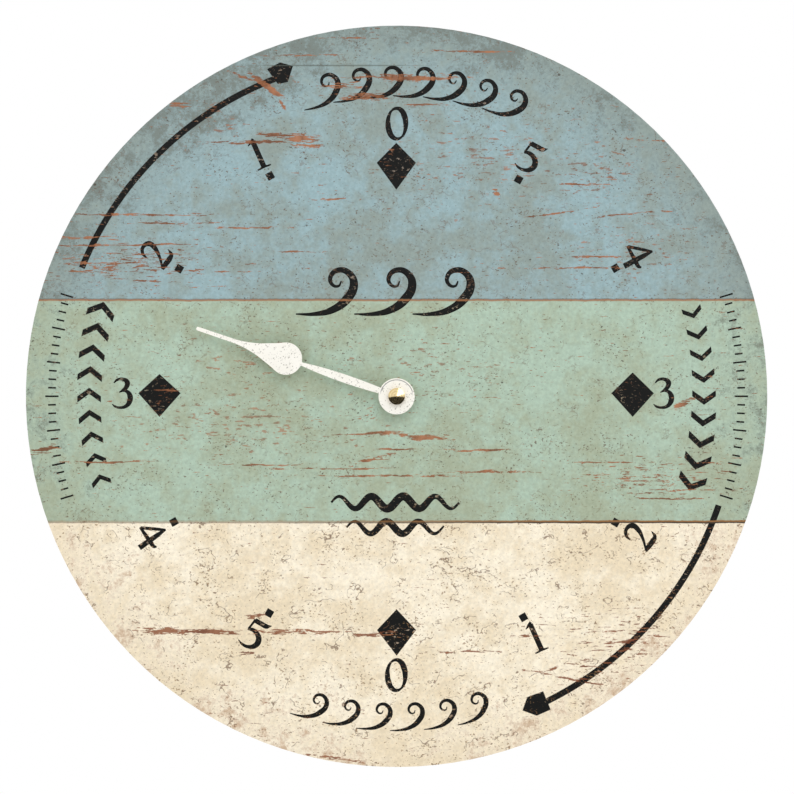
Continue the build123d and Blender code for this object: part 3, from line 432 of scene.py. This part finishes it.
def worn_away(tree, start, bent, places, grains, most):
    """How far the paint has gone, from 0 to the most: the worn places, broken up along the grain."""
    flat = add(tree, "VectorMath", {0: bent, 1: (1, 0, 1)}, operation="MULTIPLY")[0]
    worn = start
    turned = {}
    for right, up, half_length, half_height, slope, strength in places:
        squeeze = 2 ** round(log2(half_length / half_height))
        lean = -radians(slope) if abs(slope) > LEAST_LEAN else 0.0
        if (lean, squeeze) not in turned:
            turned[lean, squeeze] = add(tree, "Mapping", {
                "Vector": flat, "Rotation": (0, lean, 0), "Scale": (squeeze, 1, 1)}, vector_type="TEXTURE")[0]
        middle = Matrix.Rotation(-lean, 3, "Y") @ Vector((right, 0, up))
        middle.x /= squeeze
        near = add(tree, "VectorMath", {
            0: turned[lean, squeeze], 1: middle}, operation="DISTANCE")["Value"]
        near = add(tree, "Math", {
            0: near, 1: -strength / half_height, 2: strength}, operation="MULTIPLY_ADD")[0]
        worn = add(tree, "Math", {0: worn, 1: near}, operation="MAXIMUM")[0]
    for along, across, share in grains:
        grain = add(tree, "Mapping", {"Vector": bent, "Scale": (along, 0, across)})[0]
        grain = add(tree, "TexNoise", {
            "Vector": grain, "Scale": 1.0, "Detail": 3, "Roughness": 0.6})[0]
        grain = add(tree, "Math", {0: grain, 1: 0.5}, operation="SUBTRACT")[0]
        worn = add(tree, "Math", {0: grain, 1: share, 2: worn}, operation="MULTIPLY_ADD")[0]
    return add(tree, "MapRange", {VALUE: worn, START: 0.46, END: 0.58, HIGH: most})[0]


def bare_wood(tree, field, colour):
    """Streaks and flecks where the paint has gone down to the wood."""
    wave = add(tree, "TexNoise", {"Vector": field["place"], "Scale": 1 / WOOD_WAVE, "Detail": 2})["Color"]
    wave = add(tree, "VectorMath", {0: wave, 1: (0.5, 0.5, 0.5)}, operation="SUBTRACT")[0]
    bent = add(tree, "VectorMath", {
        0: wave, 1: (0, 0, GRAIN_SWAY), 2: field["place"]}, operation="MULTIPLY_ADD")[0]
    sparse = add(tree, "Math", {0: field["cloud"], 1: 0.5, 2: -0.20}, operation="MULTIPLY_ADD")[0]
    streaks = worn_away(tree, sparse, bent, STREAKED_PLACES, STREAK_GRAINS, STREAK_MOST)
    flecks = worn_away(tree, WHOLE_PAINT, bent, FLECKED_PLACES, FLECK_GRAINS, FLECK_MOST)
    worn = add(tree, "Math", {0: streaks, 1: flecks}, operation="MAXIMUM")[0]
    tone = add(tree, "MapRange", {VALUE: field["blotch"], START: 0.35, END: 0.65})[0]
    pine = add(tree, "Mix", {SHARE: tone, UNDER: linear("#74482f"), OVER: linear("#ad7350")})[MIXED]
    dark = add(tree, "Mix", {SHARE: tone, UNDER: linear("#74402a"), OVER: linear("#9a6444")})[MIXED]
    wood = add(tree, "Mix", {SHARE: field["lower"], UNDER: pine, OVER: dark})[MIXED]
    return add(tree, "Mix", {SHARE: worn, UNDER: colour, OVER: wood})[MIXED]


def seam_lines(tree, field, colour):
    """Open seams between the boards, each brown with a dark edge, and the fine groove near the top."""
    for seam, half, tone, left_depth, right_depth in SEAM_LINES:
        depth = add(tree, "MapRange", {
            VALUE: field["across"], START: -DIAL_RADIUS / 2, END: DIAL_RADIUS / 2,
            LOW: left_depth, HIGH: right_depth})[0]
        off = add(tree, "Math", {0: field["edge"], 1: seam}, operation="SUBTRACT")[0]
        off = add(tree, "Math", {0: off}, operation="ABSOLUTE")[0]
        line = add(tree, "MapRange", {VALUE: off, START: half, END: half / 3, HIGH: depth})[0]
        colour = add(tree, "Mix", {SHARE: line, UNDER: colour, OVER: linear(tone)})[MIXED]
    right, up, half_length, half_height = GROOVE
    off = add(tree, "VectorMath", {0: field["place"], 1: (right, 0, up)}, operation="SUBTRACT")[0]
    share = (1 / half_length, 0, 1 / half_height)
    off = add(tree, "VectorMath", {0: off, 1: share}, operation="MULTIPLY")[0]
    off = add(tree, "VectorMath", {0: off}, operation="LENGTH")["Value"]
    groove = add(tree, "MapRange", {VALUE: off, START: 1.0, END: 0.4, HIGH: 0.6})[0]
    return add(tree, "Mix", {SHARE: groove, UNDER: colour, OVER: linear("#545b54")})[MIXED]


def printed_boards(inked):
    """Matt laminate print of three weathered painted boards, with or without ink under the wear."""
    made, tree, shader = material("printed_ink" if inked else "printed_face")
    field = paint_field(tree)
    colour = rim_grime(tree, field, mottled_boards(tree, field))
    if inked:
        colour = flaked_ink(tree, field, colour)
    colour, thick = pin_holes(tree, field, colour)
    colour = crackle(tree, field, colour, thick)
    colour = bare_wood(tree, field, colour)
    colour = seam_lines(tree, field, colour)
    tree.links.new(colour, shader.inputs["Base Color"])
    shader.inputs["Roughness"].default_value = 0.65
    shader.inputs["Specular IOR Level"].default_value = 0.15 if inked else 0.25
    matt = add(tree, "TexNoise", {"Vector": field["place"], "Scale": 1 / PRINT_TOOTH, "Detail": 2})[0]
    bump = add(tree, "Bump", {"Height": matt, "Strength": 0.15, "Distance": 0.06 * MM})[0]
    tree.links.new(bump, shader.inputs["Normal"])
    return made


# Finishes of the other pieces


def speckled_enamel():
    """Stove enamel on stamped metal: warm white, satin, with fine dark specks and a line of painted shade on
    the upper half of the hub.
    """
    made, tree, shader = material("speckled_enamel")
    place = millimetres(tree)
    soft = add(tree, "TexNoise", {"Vector": place, "Scale": 1 / ENAMEL_CLOUD, "Detail": 4})[0]
    tone = add(tree, "Mix", {SHARE: soft, UNDER: linear("#f3efe4"), OVER: linear("#fffdf6")})[MIXED]
    speck = add(tree, "TexNoise", {
        "Vector": place, "Scale": 1 / ENAMEL_SPECK, "Detail": 2, "Roughness": 0.6})[0]
    speck = add(tree, "MapRange", {VALUE: speck, START: 0.60, END: 0.68, HIGH: 0.62})[0]
    colour = add(tree, "Mix", {SHARE: speck, UNDER: tone, OVER: linear("#6f6a5c")})[MIXED]
    flat = add(tree, "VectorMath", {0: place, 1: (1, 0, 1)}, operation="MULTIPLY")[0]
    reach = add(tree, "VectorMath", {0: flat}, operation="LENGTH")["Value"]
    # Painted shade: a dark grey line along the upper half of the hub, standing for the shadow at its edge
    line = add(tree, "Math", {0: reach, 1: HUB_SHADE_RING}, operation="SUBTRACT")[0]
    line = add(tree, "Math", {0: line}, operation="ABSOLUTE")[0]
    line = add(tree, "MapRange", {VALUE: line, START: HUB_SHADE_HALF, END: 0.0})[0]
    height = add(tree, "SeparateXYZ", {0: place})[2]
    upper = add(tree, "MapRange", {
        VALUE: height, START: HUB_SHADE_RISE[0], END: HUB_SHADE_RISE[1], HIGH: 0.85})[0]
    line = add(tree, "Math", {0: line, 1: upper}, operation="MULTIPLY")[0]
    colour = add(tree, "Mix", {SHARE: line, UNDER: colour, OVER: linear("#4a4f55")})[MIXED]
    tree.links.new(colour, shader.inputs["Base Color"])
    shader.inputs["Roughness"].default_value = 0.42
    bump = add(tree, "Bump", {"Height": speck, "Strength": 0.25, "Distance": -0.03 * MM})[0]
    tree.links.new(bump, shader.inputs["Normal"])
    return made


def turned_brass():
    """Lathe-turned brass: yellow, bright, with fine rings left by the tool round the hand's axis, which also
    band its colour as painted sheen and shade.
    """
    made, tree, shader = material("turned_brass")
    place = millimetres(tree)
    rings = add(tree, "TexWave", {
        "Vector": place, "Scale": WAVE_SPACING / TOOL_RING, "Distortion": 0.6, "Detail": 2},
        wave_type="RINGS", rings_direction="Y")[1]
    stain = add(tree, "TexNoise", {"Vector": place, "Scale": 1 / BRASS_STAIN, "Detail": 4})[0]
    # Tone is partly real stain and partly painted sheen and shade: the tool rings make lighter and darker
    # bands in the colour
    tone = add(tree, "Math", {0: rings, 1: 0.35, 2: stain}, operation="MULTIPLY_ADD")[0]
    colour = add(tree, "Mix", {SHARE: tone, UNDER: linear("#cdb078"), OVER: linear("#f0dcae")})[MIXED]
    tree.links.new(colour, shader.inputs["Base Color"])
    shader.inputs["Metallic"].default_value = 1.0
    rough = add(tree, "MapRange", {VALUE: stain, LOW: 0.14, HIGH: 0.22})[0]
    tree.links.new(rough, shader.inputs["Roughness"])
    bump = add(tree, "Bump", {"Height": rings, "Strength": 0.3, "Distance": 0.02 * MM})[0]
    tree.links.new(bump, shader.inputs["Normal"])
    return made


def fibreboard():
    """Sanded fibreboard: tan, matt, with short pale and dark fibres that lie crosswise."""
    made, tree, shader = material("fibreboard")
    fibre = add(tree, "TexNoise", {
        "Vector": millimetres(tree, (1, 0.5, 0.35)), "Scale": 1 / BOARD_FIBRE,
        "Detail": 4, "Roughness": 0.7})[0]
    cross = add(tree, "TexNoise", {
        "Vector": millimetres(tree, (0.35, 0.5, 1)), "Scale": 1 / BOARD_FIBRE,
        "Detail": 4, "Roughness": 0.7})[0]
    cloud = add(tree, "TexNoise", {"Vector": millimetres(tree), "Scale": 1 / BOARD_CLOUD, "Detail": 4})[0]
    both = add(tree, "Math", {0: fibre, 1: cross}, operation="ADD")[0]
    both = add(tree, "Math", {0: cloud, 1: 0.3, 2: both}, operation="MULTIPLY_ADD")[0]
    both = add(tree, "MapRange", {VALUE: both, START: 0.85, END: 1.45})[0]
    colour = add(tree, "Mix", {SHARE: both, UNDER: linear("#846546"), OVER: linear("#b4946a")})[MIXED]
    tree.links.new(colour, shader.inputs["Base Color"])
    shader.inputs["Roughness"].default_value = 0.85
    bump = add(tree, "Bump", {"Height": fibre, "Strength": 0.3, "Distance": 0.08 * MM})[0]
    tree.links.new(bump, shader.inputs["Normal"])
    return made


def plated_steel(name, dark, light, rough):
    """Plated, bare or sintered metal: grey, with a faint bloom on its surface and fine rolling lines."""
    made, tree, shader = material(name)
    bloom = add(tree, "TexNoise", {
        "Vector": millimetres(tree), "Scale": 1 / PLATING_BLOOM, "Detail": 4})[0]
    lines = add(tree, "TexNoise", {
        "Vector": millimetres(tree, (1, 1, 0.05)), "Scale": 1 / ROLLING_LINE, "Detail": 2})[0]
    colour = add(tree, "Mix", {SHARE: bloom, UNDER: linear(dark), OVER: linear(light)})[MIXED]
    tree.links.new(colour, shader.inputs["Base Color"])
    shader.inputs["Metallic"].default_value = 1.0
    rough = add(tree, "MapRange", {VALUE: lines, LOW: rough - 0.08, HIGH: rough + 0.08})[0]
    tree.links.new(rough, shader.inputs["Roughness"])
    bump = add(tree, "Bump", {"Height": lines, "Strength": 0.15, "Distance": 0.06 * MM})[0]
    tree.links.new(bump, shader.inputs["Normal"])
    return made


def moulded_plastic(name, dark, light, rough, grit):
    """Moulded plastic, rubber, resin or lacquer: one colour, finely mottled by the grain of the mould."""
    made, tree, shader = material(name)
    place = millimetres(tree)
    cloud = add(tree, "TexNoise", {"Vector": place, "Scale": 1 / PLASTIC_CLOUD, "Detail": 3})[0]
    grain = add(tree, "TexNoise", {
        "Vector": place, "Scale": 1 / grit, "Detail": 3, "Roughness": 0.6})[0]
    mottle = add(tree, "Math", {0: cloud, 1: grain}, operation="ADD")[0]
    mottle = add(tree, "MapRange", {VALUE: mottle, START: 0.8, END: 1.2})[0]
    colour = add(tree, "Mix", {SHARE: mottle, UNDER: linear(dark), OVER: linear(light)})[MIXED]
    tree.links.new(colour, shader.inputs["Base Color"])
    rough = add(tree, "MapRange", {VALUE: grain, LOW: rough - 0.06, HIGH: rough + 0.06})[0]
    tree.links.new(rough, shader.inputs["Roughness"])
    bump = add(tree, "Bump", {"Height": grain, "Strength": 0.5, "Distance": 0.2 * MM})[0]
    tree.links.new(bump, shader.inputs["Normal"])
    return made


def wound_copper():
    """Enamelled copper wire wound side by side: the turns show as fine ridges round the coil, with painted
    shade in the grooves and a painted highlight on the crests.
    """
    made, tree, shader = material("wound_copper")
    turns = add(tree, "TexWave", {
        "Vector": millimetres(tree), "Scale": WAVE_SPACING / WIRE_TURN, "Distortion": 0.3},
        bands_direction="Z")[1]
    # Painted shade and highlight: darker copper in the grooves between turns, lighter on their crests
    colour = add(tree, "Mix", {SHARE: turns, UNDER: linear("#7a3818"), OVER: linear("#c8743c")})[MIXED]
    tree.links.new(colour, shader.inputs["Base Color"])
    shader.inputs["Metallic"].default_value = 0.8
    shader.inputs["Roughness"].default_value = 0.3
    bump = add(tree, "Bump", {"Height": turns, "Strength": 0.5, "Distance": 0.1 * MM})[0]
    tree.links.new(bump, shader.inputs["Normal"])
    return made


def battery_sleeve():
    """Shrunk plastic sleeve: glossy slate grey, with one plain pale band at the plus end."""
    made, tree, shader = material("battery_sleeve")
    low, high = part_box("battery_cell")
    place = millimetres(tree)
    across = add(tree, "SeparateXYZ", {0: place})[0]
    band_edge = (high[0] - (high[0] - low[0]) * BAND_SHARE) / MM
    band = add(tree, "MapRange", {
        VALUE: across, START: band_edge - BAND_BLUR, END: band_edge + BAND_BLUR})[0]
    scuff = add(tree, "TexNoise", {
        "Vector": millimetres(tree, (0.15, 1, 1)), "Scale": 1 / SLEEVE_SCUFF, "Detail": 4})[0]
    colour = add(tree, "Mix", {SHARE: band, UNDER: linear("#4a5359"), OVER: linear("#cfd0cb")})[MIXED]
    tree.links.new(colour, shader.inputs["Base Color"])
    rough = add(tree, "MapRange", {VALUE: scuff, LOW: 0.22, HIGH: 0.42})[0]
    tree.links.new(rough, shader.inputs["Roughness"])
    shader.inputs["Coat Weight"].default_value = 0.4
    return made


# Each finish with the pieces that have it
FINISHES = {
    printed_boards(False): ["dial_print"],
    fibreboard(): ["dial_board"],
    speckled_enamel(): ["tide_hand"],
    turned_brass(): ["cap_nut", "hand_bush", "threaded_bush", "fixing_nut", "front_washer", "hand_shaft"],
    plated_steel("zinc_plate", "#9a9c9d", "#c6c8c8", 0.36): [
        "hanger_plate", "cover_screws", "bridge_screws", "motor_screws", "clutch_spring", "clutch_ring"],
    plated_steel("nickel_plate", "#a9a497", "#d2cdc0", 0.24): [
        "battery_terminal", "contact_positive", "contact_negative"],
    plated_steel("punched_iron", "#77787a", "#a3a4a6", 0.42): ["stator", "coil_core", "quartz_crystal"],
    plated_steel("sintered_magnet", "#3a3a3c", "#55565a", 0.5): ["rotor_magnet"],
    moulded_plastic("gasket_rubber", "#141414", "#1f1f1f", 0.8, FINE_GRAIN): ["rubber_washer"],
    moulded_plastic("black_case", "#121213", "#2a2a2d", 0.5, MOULD_GRAIN): ["case_front", "case_rear"],
    moulded_plastic("white_acetal", "#d8d5c6", "#efeee4", 0.4, MOULD_GRAIN): [
        "setting_knob", "setting_wheel", "tide_wheel", "third_wheel", "second_wheel", "first_wheel",
        "rotor_pinion", "setting_pinion", "train_bridge"],
    moulded_plastic("amber_bobbin", "#b0a57e", "#c4ba94", 0.45, FINE_GRAIN): ["coil_bobbin"],
    moulded_plastic("solder_resist", "#1f5a31", "#2b7340", 0.32, MOULD_GRAIN): ["circuit_board"],
    moulded_plastic("chip_resin", "#0c0c0d", "#161618", 0.25, FINE_GRAIN): ["chip_cover"],
    wound_copper(): ["coil_winding"],
    battery_sleeve(): ["battery_cell"],
}
for finish, names in FINISHES.items():
    for name in names:
        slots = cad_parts[name].data.materials
        slots.clear()
        slots.append(finish)


# Marks on the dial and on the case


def clock_place(ring, turn):
    """Place in millimetres on a ring, at an angle clockwise from the top."""
    return ring * sin(radians(turn)), ring * cos(radians(turn))


def finish_mark(name, mesh, ink):
    """A printed mark that rides with the clock."""
    mark = bpy.data.objects.new(name, mesh)
    bpy.context.scene.collection.objects.link(mark)
    mesh.materials.append(ink)
    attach(mark, "clock")


def flat_shape(shape, corners, surface=DIAL_FRONT, layers=1):
    """Thin flat shape on a surface with the given corners, in millimetres."""
    level, step = surface
    face = shape.faces.new([shape.verts.new((right * MM, level, up * MM)) for right, up in corners])
    raised = bmesh.ops.extrude_face_region(shape, geom=[face])["geom"]
    moved = [part for part in raised if isinstance(part, bmesh.types.BMVert)]
    bmesh.ops.translate(shape, verts=moved, vec=(0, layers * step, 0))


def arc_band(shape, middle, ring, half, span, steps, surface=DIAL_FRONT):
    """Thin band along a ring about a middle, from one angle to another, clockwise from the top."""
    level, step = surface
    right, up = middle
    section = [(ring - half, 0), (ring + half, 0), (ring + half, step), (ring - half, step)]
    ends = []
    for radius, rise in section:
        across, along = clock_place(radius, span[0])
        ends.append(shape.verts.new(((right + across) * MM, level + rise, (up + along) * MM)))
    bmesh.ops.spin(shape, geom=[shape.faces.new(ends)], cent=(right * MM, 0, up * MM), axis=(0, 1, 0),
                   angle=radians(span[1] - span[0]), steps=steps)
    bmesh.ops.remove_doubles(shape, verts=shape.verts, dist=MERGE)


def mesh_of(shape, name):
    """Mesh of a finished shape, with its faces turned outwards."""
    bmesh.ops.recalc_face_normals(shape, faces=shape.faces)
    mesh = bpy.data.meshes.new(name)
    shape.to_mesh(mesh)
    shape.free()
    return mesh


def pen_line(name, strokes):
    """Mesh of pen strokes flat on the print: smooth curves through (right, up, half width) in millimetres."""
    curve = bpy.data.curves.new(name, "CURVE")
    curve.dimensions = "3D"
    curve.bevel_depth = 1.0
    curve.bevel_resolution = 2
    curve.resolution_u = CURVE_STEPS
    curve.use_fill_caps = True
    for stroke, closed in strokes:
        spline = curve.splines.new("BEZIER")
        spline.bezier_points.add(len(stroke) - 1)
        spline.use_cyclic_u = closed
        for point, (right, up, half) in zip(spline.bezier_points, stroke):
            point.co = (right * MM, 0, up * MM)
            point.radius = half * MM
            point.handle_left_type = point.handle_right_type = "AUTO"
    holder = bpy.data.objects.new(name, curve)
    tube = bpy.data.meshes.new_from_object(holder)
    bpy.data.objects.remove(holder)
    shape = bmesh.new()
    shape.from_mesh(tube)
    bpy.data.meshes.remove(tube)
    bmesh.ops.remove_doubles(shape, verts=shape.verts, dist=MERGE)
    widest = max(half for stroke, _ in strokes for _, _, half in stroke) * MM
    flatten = Matrix.Translation((0, FACE, 0)) @ Matrix.Diagonal((1, INK_DEPTH / widest, 1, 1))
    bmesh.ops.transform(shape, matrix=flatten, verts=shape.verts)
    return mesh_of(shape, name)


def placed(strokes, middle, height, place, turn):
    """Strokes in shares of a height, set at a place on the dial and turned clockwise about it."""
    rows = []
    for stroke in strokes:
        row = []
        for right, up, half in stroke:
            across, along = (right - middle) * height, (up - 0.5) * height
            row.append((
                place[0] + across * cos(radians(turn)) + along * sin(radians(turn)),
                place[1] - across * sin(radians(turn)) + along * cos(radians(turn)),
                half * height,
            ))
        rows.append(row)
    return rows


def numeral_strokes(digit):
    """A nought is a ring, thin near its top and bottom; the other numerals are drawn stroke by stroke."""
    if digit != "0":
        return STROKE_SHARES[digit], False
    half_width, half_height, thin, extra = NOUGHT_SHARES
    ring = []
    for step in range(NOUGHT_STEPS):
        turn = step * 2 * pi / NOUGHT_STEPS
        side = abs(cos(turn - radians(NOUGHT_STRESS)))
        ring.append((NUMERAL_MIDDLE_SHARES["0"] + (half_width - extra / 2 * side) * cos(turn),
                     0.5 + half_height * sin(turn), thin + extra * side ** NOUGHT_SWELL))
    return [ring], True


def numerals(ink):
    """Plain numbers of the hours left, set round the dial."""
    for count, (digit, place, lean) in enumerate(NUMERALS):
        strokes, closed = numeral_strokes(digit)
        rows = placed(strokes, NUMERAL_MIDDLE_SHARES[digit], NUMERAL_HEIGHT, place, lean)
        name = f"numeral_{count + 1}"
        finish_mark(name, pen_line(name, [(row, closed) for row in rows]), ink)


def pointers(ink):
    """Kite diamonds at the quarters and small squares at the hours between."""
    shape = bmesh.new()
    for right, up, half, above, below in DIAMONDS:
        flat_shape(shape, [(right, up + above), (right + half, up), (right, up - below), (right - half, up)])
    finish_mark("quarter_diamonds", mesh_of(shape, "quarter_diamonds"), ink)
    shape = bmesh.new()
    for right, up in SQUARES:
        turn = degrees(atan2(right, up))
        corners = [clock_place(SQUARE_HALF * sqrt(2), turn + side) for side in (45, 135, 225, 315)]
        flat_shape(shape, [(right + across, up + along) for across, along in corners])
    finish_mark("hour_squares", mesh_of(shape, "hour_squares"), ink)


def arrows(ink):
    """Two arc arrows that show which way the hand runs."""
    for name, span, head in zip(("rising_arrow", "falling_arrow"), ARROW_SPANS, ARROW_HEADS):
        shape = bmesh.new()
        arc_band(shape, (0, 0), ARROW_RING, ARROW_HALF, span, ARROW_STEPS)
        flat_shape(shape, head, layers=2)
        finish_mark(name, mesh_of(shape, name), ink)


def wave_borders(ink):
    """Rows of curled waves above and below; the lower row stands on its head."""
    strokes = []
    for start, end, count, ring, height, inward in WAVE_BORDERS:
        for step in range(count):
            turn = start + (end - start) * (step + 0.5) / count
            lean = turn + 180 if inward else turn
            rows = placed(STROKE_SHARES["wave"], 0.0, height, clock_place(ring, turn), lean)
            strokes += [(row, False) for row in rows]
    finish_mark("wave_borders", pen_line("wave_borders", strokes), ink)


def side_chevrons(ink):
    """Rows of chevrons at the sides, each a little larger than the one before."""
    shape = bmesh.new()
    for start, end, count, ring, size in CHEVRON_ROWS:
        for step in range(count):
            turn = start + (end - start) * (step + 0.5) / count
            reach = size * (CHEVRON_LEAST_SHARE + (1 - CHEVRON_LEAST_SHARE) * step / (count - 1))
            outward = Vector(clock_place(1, turn))
            onward = Vector(clock_place(1, turn + 90))
            middle = outward * ring
            corners = [middle + outward * (reach * out) + onward * (reach * on) for out, on in CHEVRON_SHARES]
            flat_shape(shape, corners)
    finish_mark("side_chevrons", mesh_of(shape, "side_chevrons"), ink)


def tick_track(ink):
    """Fine ticks at the sides, with a long one at the start of each group."""
    shape = bmesh.new()
    swing = degrees(TICK_HALF / TICK_RING)
    for start, end, count in TICK_ROWS:
        for step in range(count):
            turn = start + (end - start) * step / (count - 1)
            half = TICK_SHORT if step % TICK_GROUP else TICK_LONG
            corners = [(TICK_RING - half, turn - swing), (TICK_RING + half, turn - swing),
                       (TICK_RING + half, turn + swing), (TICK_RING - half, turn + swing)]
            flat_shape(shape, [clock_place(*corner) for corner in corners])
    finish_mark("tick_track", mesh_of(shape, "tick_track"), ink)


def centre_ornament(ink):
    """Three breaking waves above the hand's axis and two calm ripples below it."""
    strokes = []
    for right, up, height in CENTRE_WAVES:
        strokes += [(row, False) for row in placed(STROKE_SHARES["wave"], 0.0, height, (right, up), 0)]
    finish_mark("centre_waves", pen_line("centre_waves", strokes), ink)
    strokes = []
    for left, right, up, half in CENTRE_LINES:
        count = int((right - left) / RIPPLE_LENGTH * RIPPLE_STEPS)
        row = []
        for step in range(count + 1):
            share = step / count
            across = left + (right - left) * share
            rise = RIPPLE_HEIGHT * sin((across - left) / RIPPLE_LENGTH * 2 * pi)
            swell = RIPPLE_THIN_SHARE + (1 - RIPPLE_THIN_SHARE) * sin(pi * share)
            row.append((across, up + rise, half * swell))
        strokes.append((row, False))
    finish_mark("centre_ripples", pen_line("centre_ripples", strokes), ink)


def sign_ink():
    """Pad-printed ink: pale grey, matt, a little thin in places."""
    made, tree, shader = material("sign_ink")
    worn = add(tree, "TexNoise", {"Vector": millimetres(tree), "Scale": 1 / SIGN_WEAR, "Detail": 3})[0]
    colour = add(tree, "Mix", {SHARE: worn, UNDER: linear("#8d8d8a"), OVER: linear("#c9c9c4")})[MIXED]
    tree.links.new(colour, shader.inputs["Base Color"])
    shader.inputs["Roughness"].default_value = 0.55
    return made


def pole_corners(right, up, plus):
    """Corners of a plus or a minus sign about a place, in millimetres."""
    if not plus:
        sides = [(-1, -1), (1, -1), (1, 1), (-1, 1)]
        return [(right + side * SIGN_REACH, up + rise * SIGN_HALF) for side, rise in sides]
    arm = [(-SIGN_HALF, SIGN_REACH), (SIGN_HALF, SIGN_REACH), (SIGN_HALF, SIGN_HALF)]
    quarters = [Matrix.Rotation(-quarter * pi / 2, 2) for quarter in range(4)]
    turned = [quarter @ Vector(corner) for quarter in quarters for corner in arm]
    return [(right + corner.x, up + corner.y) for corner in turned]


def case_signs(ink):
    """Signs on the back of the case: the battery's poles, and a two-way arrow over the setting knob."""
    shape = bmesh.new()
    for (right, up), plus in POLE_SIGNS:
        flat_shape(shape, pole_corners(right, up, plus), CASE_REAR)
    right, _, up = [(low + high) / 2 / MM for low, high in zip(KNOB_LOW, KNOB_HIGH)]
    arc_band(shape, (right, up), TURN_RING, SIGN_HALF, (-TURN_SPAN / 2, TURN_SPAN / 2), TURN_STEPS, CASE_REAR)
    for side in (-1, 1):
        root = side * TURN_SPAN / 2
        tip = root + side * TURN_TIP
        head = [(TURN_RING - TURN_HEAD, root), (TURN_RING + TURN_HEAD, root), (TURN_RING, tip)]
        corners = [clock_place(*corner) for corner in head]
        flat_shape(shape, [(right + across, up + along) for across, along in corners], CASE_REAR)
    finish_mark("case_signs", mesh_of(shape, "case_signs"), ink)


printed_ink = printed_boards(True)
numerals(printed_ink)
pointers(printed_ink)
arrows(printed_ink)
wave_borders(printed_ink)
side_chevrons(printed_ink)
tick_track(printed_ink)
centre_ornament(printed_ink)
case_signs(sign_ink())


# Studio


def studio_floor():
    """Pale round floor below the clock, small enough to stay out of the front view."""
    shape = bmesh.new()
    bmesh.ops.create_circle(shape, cap_ends=True, segments=FLOOR_CORNERS, radius=FLOOR_RADIUS)
    bmesh.ops.translate(shape, verts=shape.verts, vec=(0, 0, cad_box[0][2] - FLOOR_DROP))
    floor = bpy.data.objects.new("studio_floor", mesh_of(shape, "studio_floor"))
    bpy.context.scene.collection.objects.link(floor)
    made, _, shader = material("pale_floor")
    shader.inputs["Base Color"].default_value = linear("#f2f2f0")
    shader.inputs["Roughness"].default_value = 0.8
    floor.data.materials.append(made)


def studio_card(name, corners, colour, shine):
    """Card beside the camera, seen only in bright metal."""
    shape = bmesh.new()
    shape.faces.new([shape.verts.new(corner) for corner in corners])
    card = bpy.data.objects.new(name, mesh_of(shape, name))
    bpy.context.scene.collection.objects.link(card)
    card.visible_camera = card.visible_diffuse = card.visible_transmission = card.visible_shadow = False
    made, _, shader = material(name)
    shader.inputs["Base Color"].default_value = linear(colour)
    shader.inputs["Roughness"].default_value = 0.9
    shader.inputs["Emission Color"].default_value = linear(colour)
    shader.inputs["Emission Strength"].default_value = shine
    card.data.materials.append(made)


def studio_cards():
    """Cards that give the cone nut its dark lower half and its white upper right."""
    edges = [(FLAG_NEAR, (-1, 1)), (FLAG_FAR, (1, -1))]
    corners = [(side * FLAG_HALF, -away, rise) for (away, rise), sides in edges for side in sides]
    studio_card("black_card", corners, "#0b0a09", 0.0)
    middle = Vector(CARD_PLACE)
    turn = middle.to_track_quat("Z", "Y")
    sides = [(-1, -1, 0), (1, -1, 0), (1, 1, 0), (-1, 1, 0)]
    corners = [middle + turn @ (Vector(side) * CARD_HALF) for side in sides]
    studio_card("white_card", corners, "#ffffff", CARD_SHINE)


def studio_world():
    """White behind the clock and in its reflections, and an even soft light on it."""
    world = bpy.data.worlds.new("studio")
    bpy.context.scene.world = world
    world.use_nodes = True
    tree = world.node_tree
    rays = add(tree, "LightPath")
    seen = add(tree, "Math", {
        0: rays["Is Camera Ray"], 1: rays["Is Glossy Ray"]}, operation="MAXIMUM")[0]
    seen = add(tree, "Math", {0: seen, 1: rays["Is Transmission Ray"]}, operation="MAXIMUM")[0]
    strength = add(tree, "MapRange", {VALUE: seen, LOW: WORLD_LIGHT, HIGH: WORLD_SEEN})[0]
    background = tree.nodes["Background"]
    background.inputs["Color"].default_value = (1, 1, 1, 1)
    tree.links.new(strength, background.inputs["Strength"])


def soft_lamp(name, place, size, power):
    """Square soft lamp that faces the dial."""
    lamp = bpy.data.lights.new(name, "AREA")
    lamp.size = size
    lamp.energy = power
    holder = bpy.data.objects.new(name, lamp)
    holder.location = place
    holder.rotation_euler = (-Vector(place)).to_track_quat("-Z", "Y").to_euler()
    bpy.context.scene.collection.objects.link(holder)


def photo_camera():
    """Long lens square to the dial, set so that the dial fills the same part of the picture."""
    camera = bpy.data.cameras.new("photo_camera")
    pixel = DIAL_RADIUS * MM / DIAL_PIXELS
    camera.sensor_width = SENSOR
    camera.lens = SENSOR * CAMERA_DISTANCE / (pixel * PICTURE)
    holder = bpy.data.objects.new("photo_camera", camera)
    across = (PICTURE / 2 - DIAL_IN_PICTURE[0]) * pixel
    up = (DIAL_IN_PICTURE[1] - PICTURE / 2) * pixel
    holder.location = (across, FACE - CAMERA_DISTANCE, up)
    holder.rotation_euler = (pi / 2, 0, 0)
    bpy.context.scene.collection.objects.link(holder)
    bpy.context.scene.camera = holder


studio_floor()
studio_cards()
studio_world()
for name, (place, size, power) in LAMPS.items():
    soft_lamp(name, place, size, power)
photo_camera()
bpy.context.scene.view_settings.view_transform = "Standard"
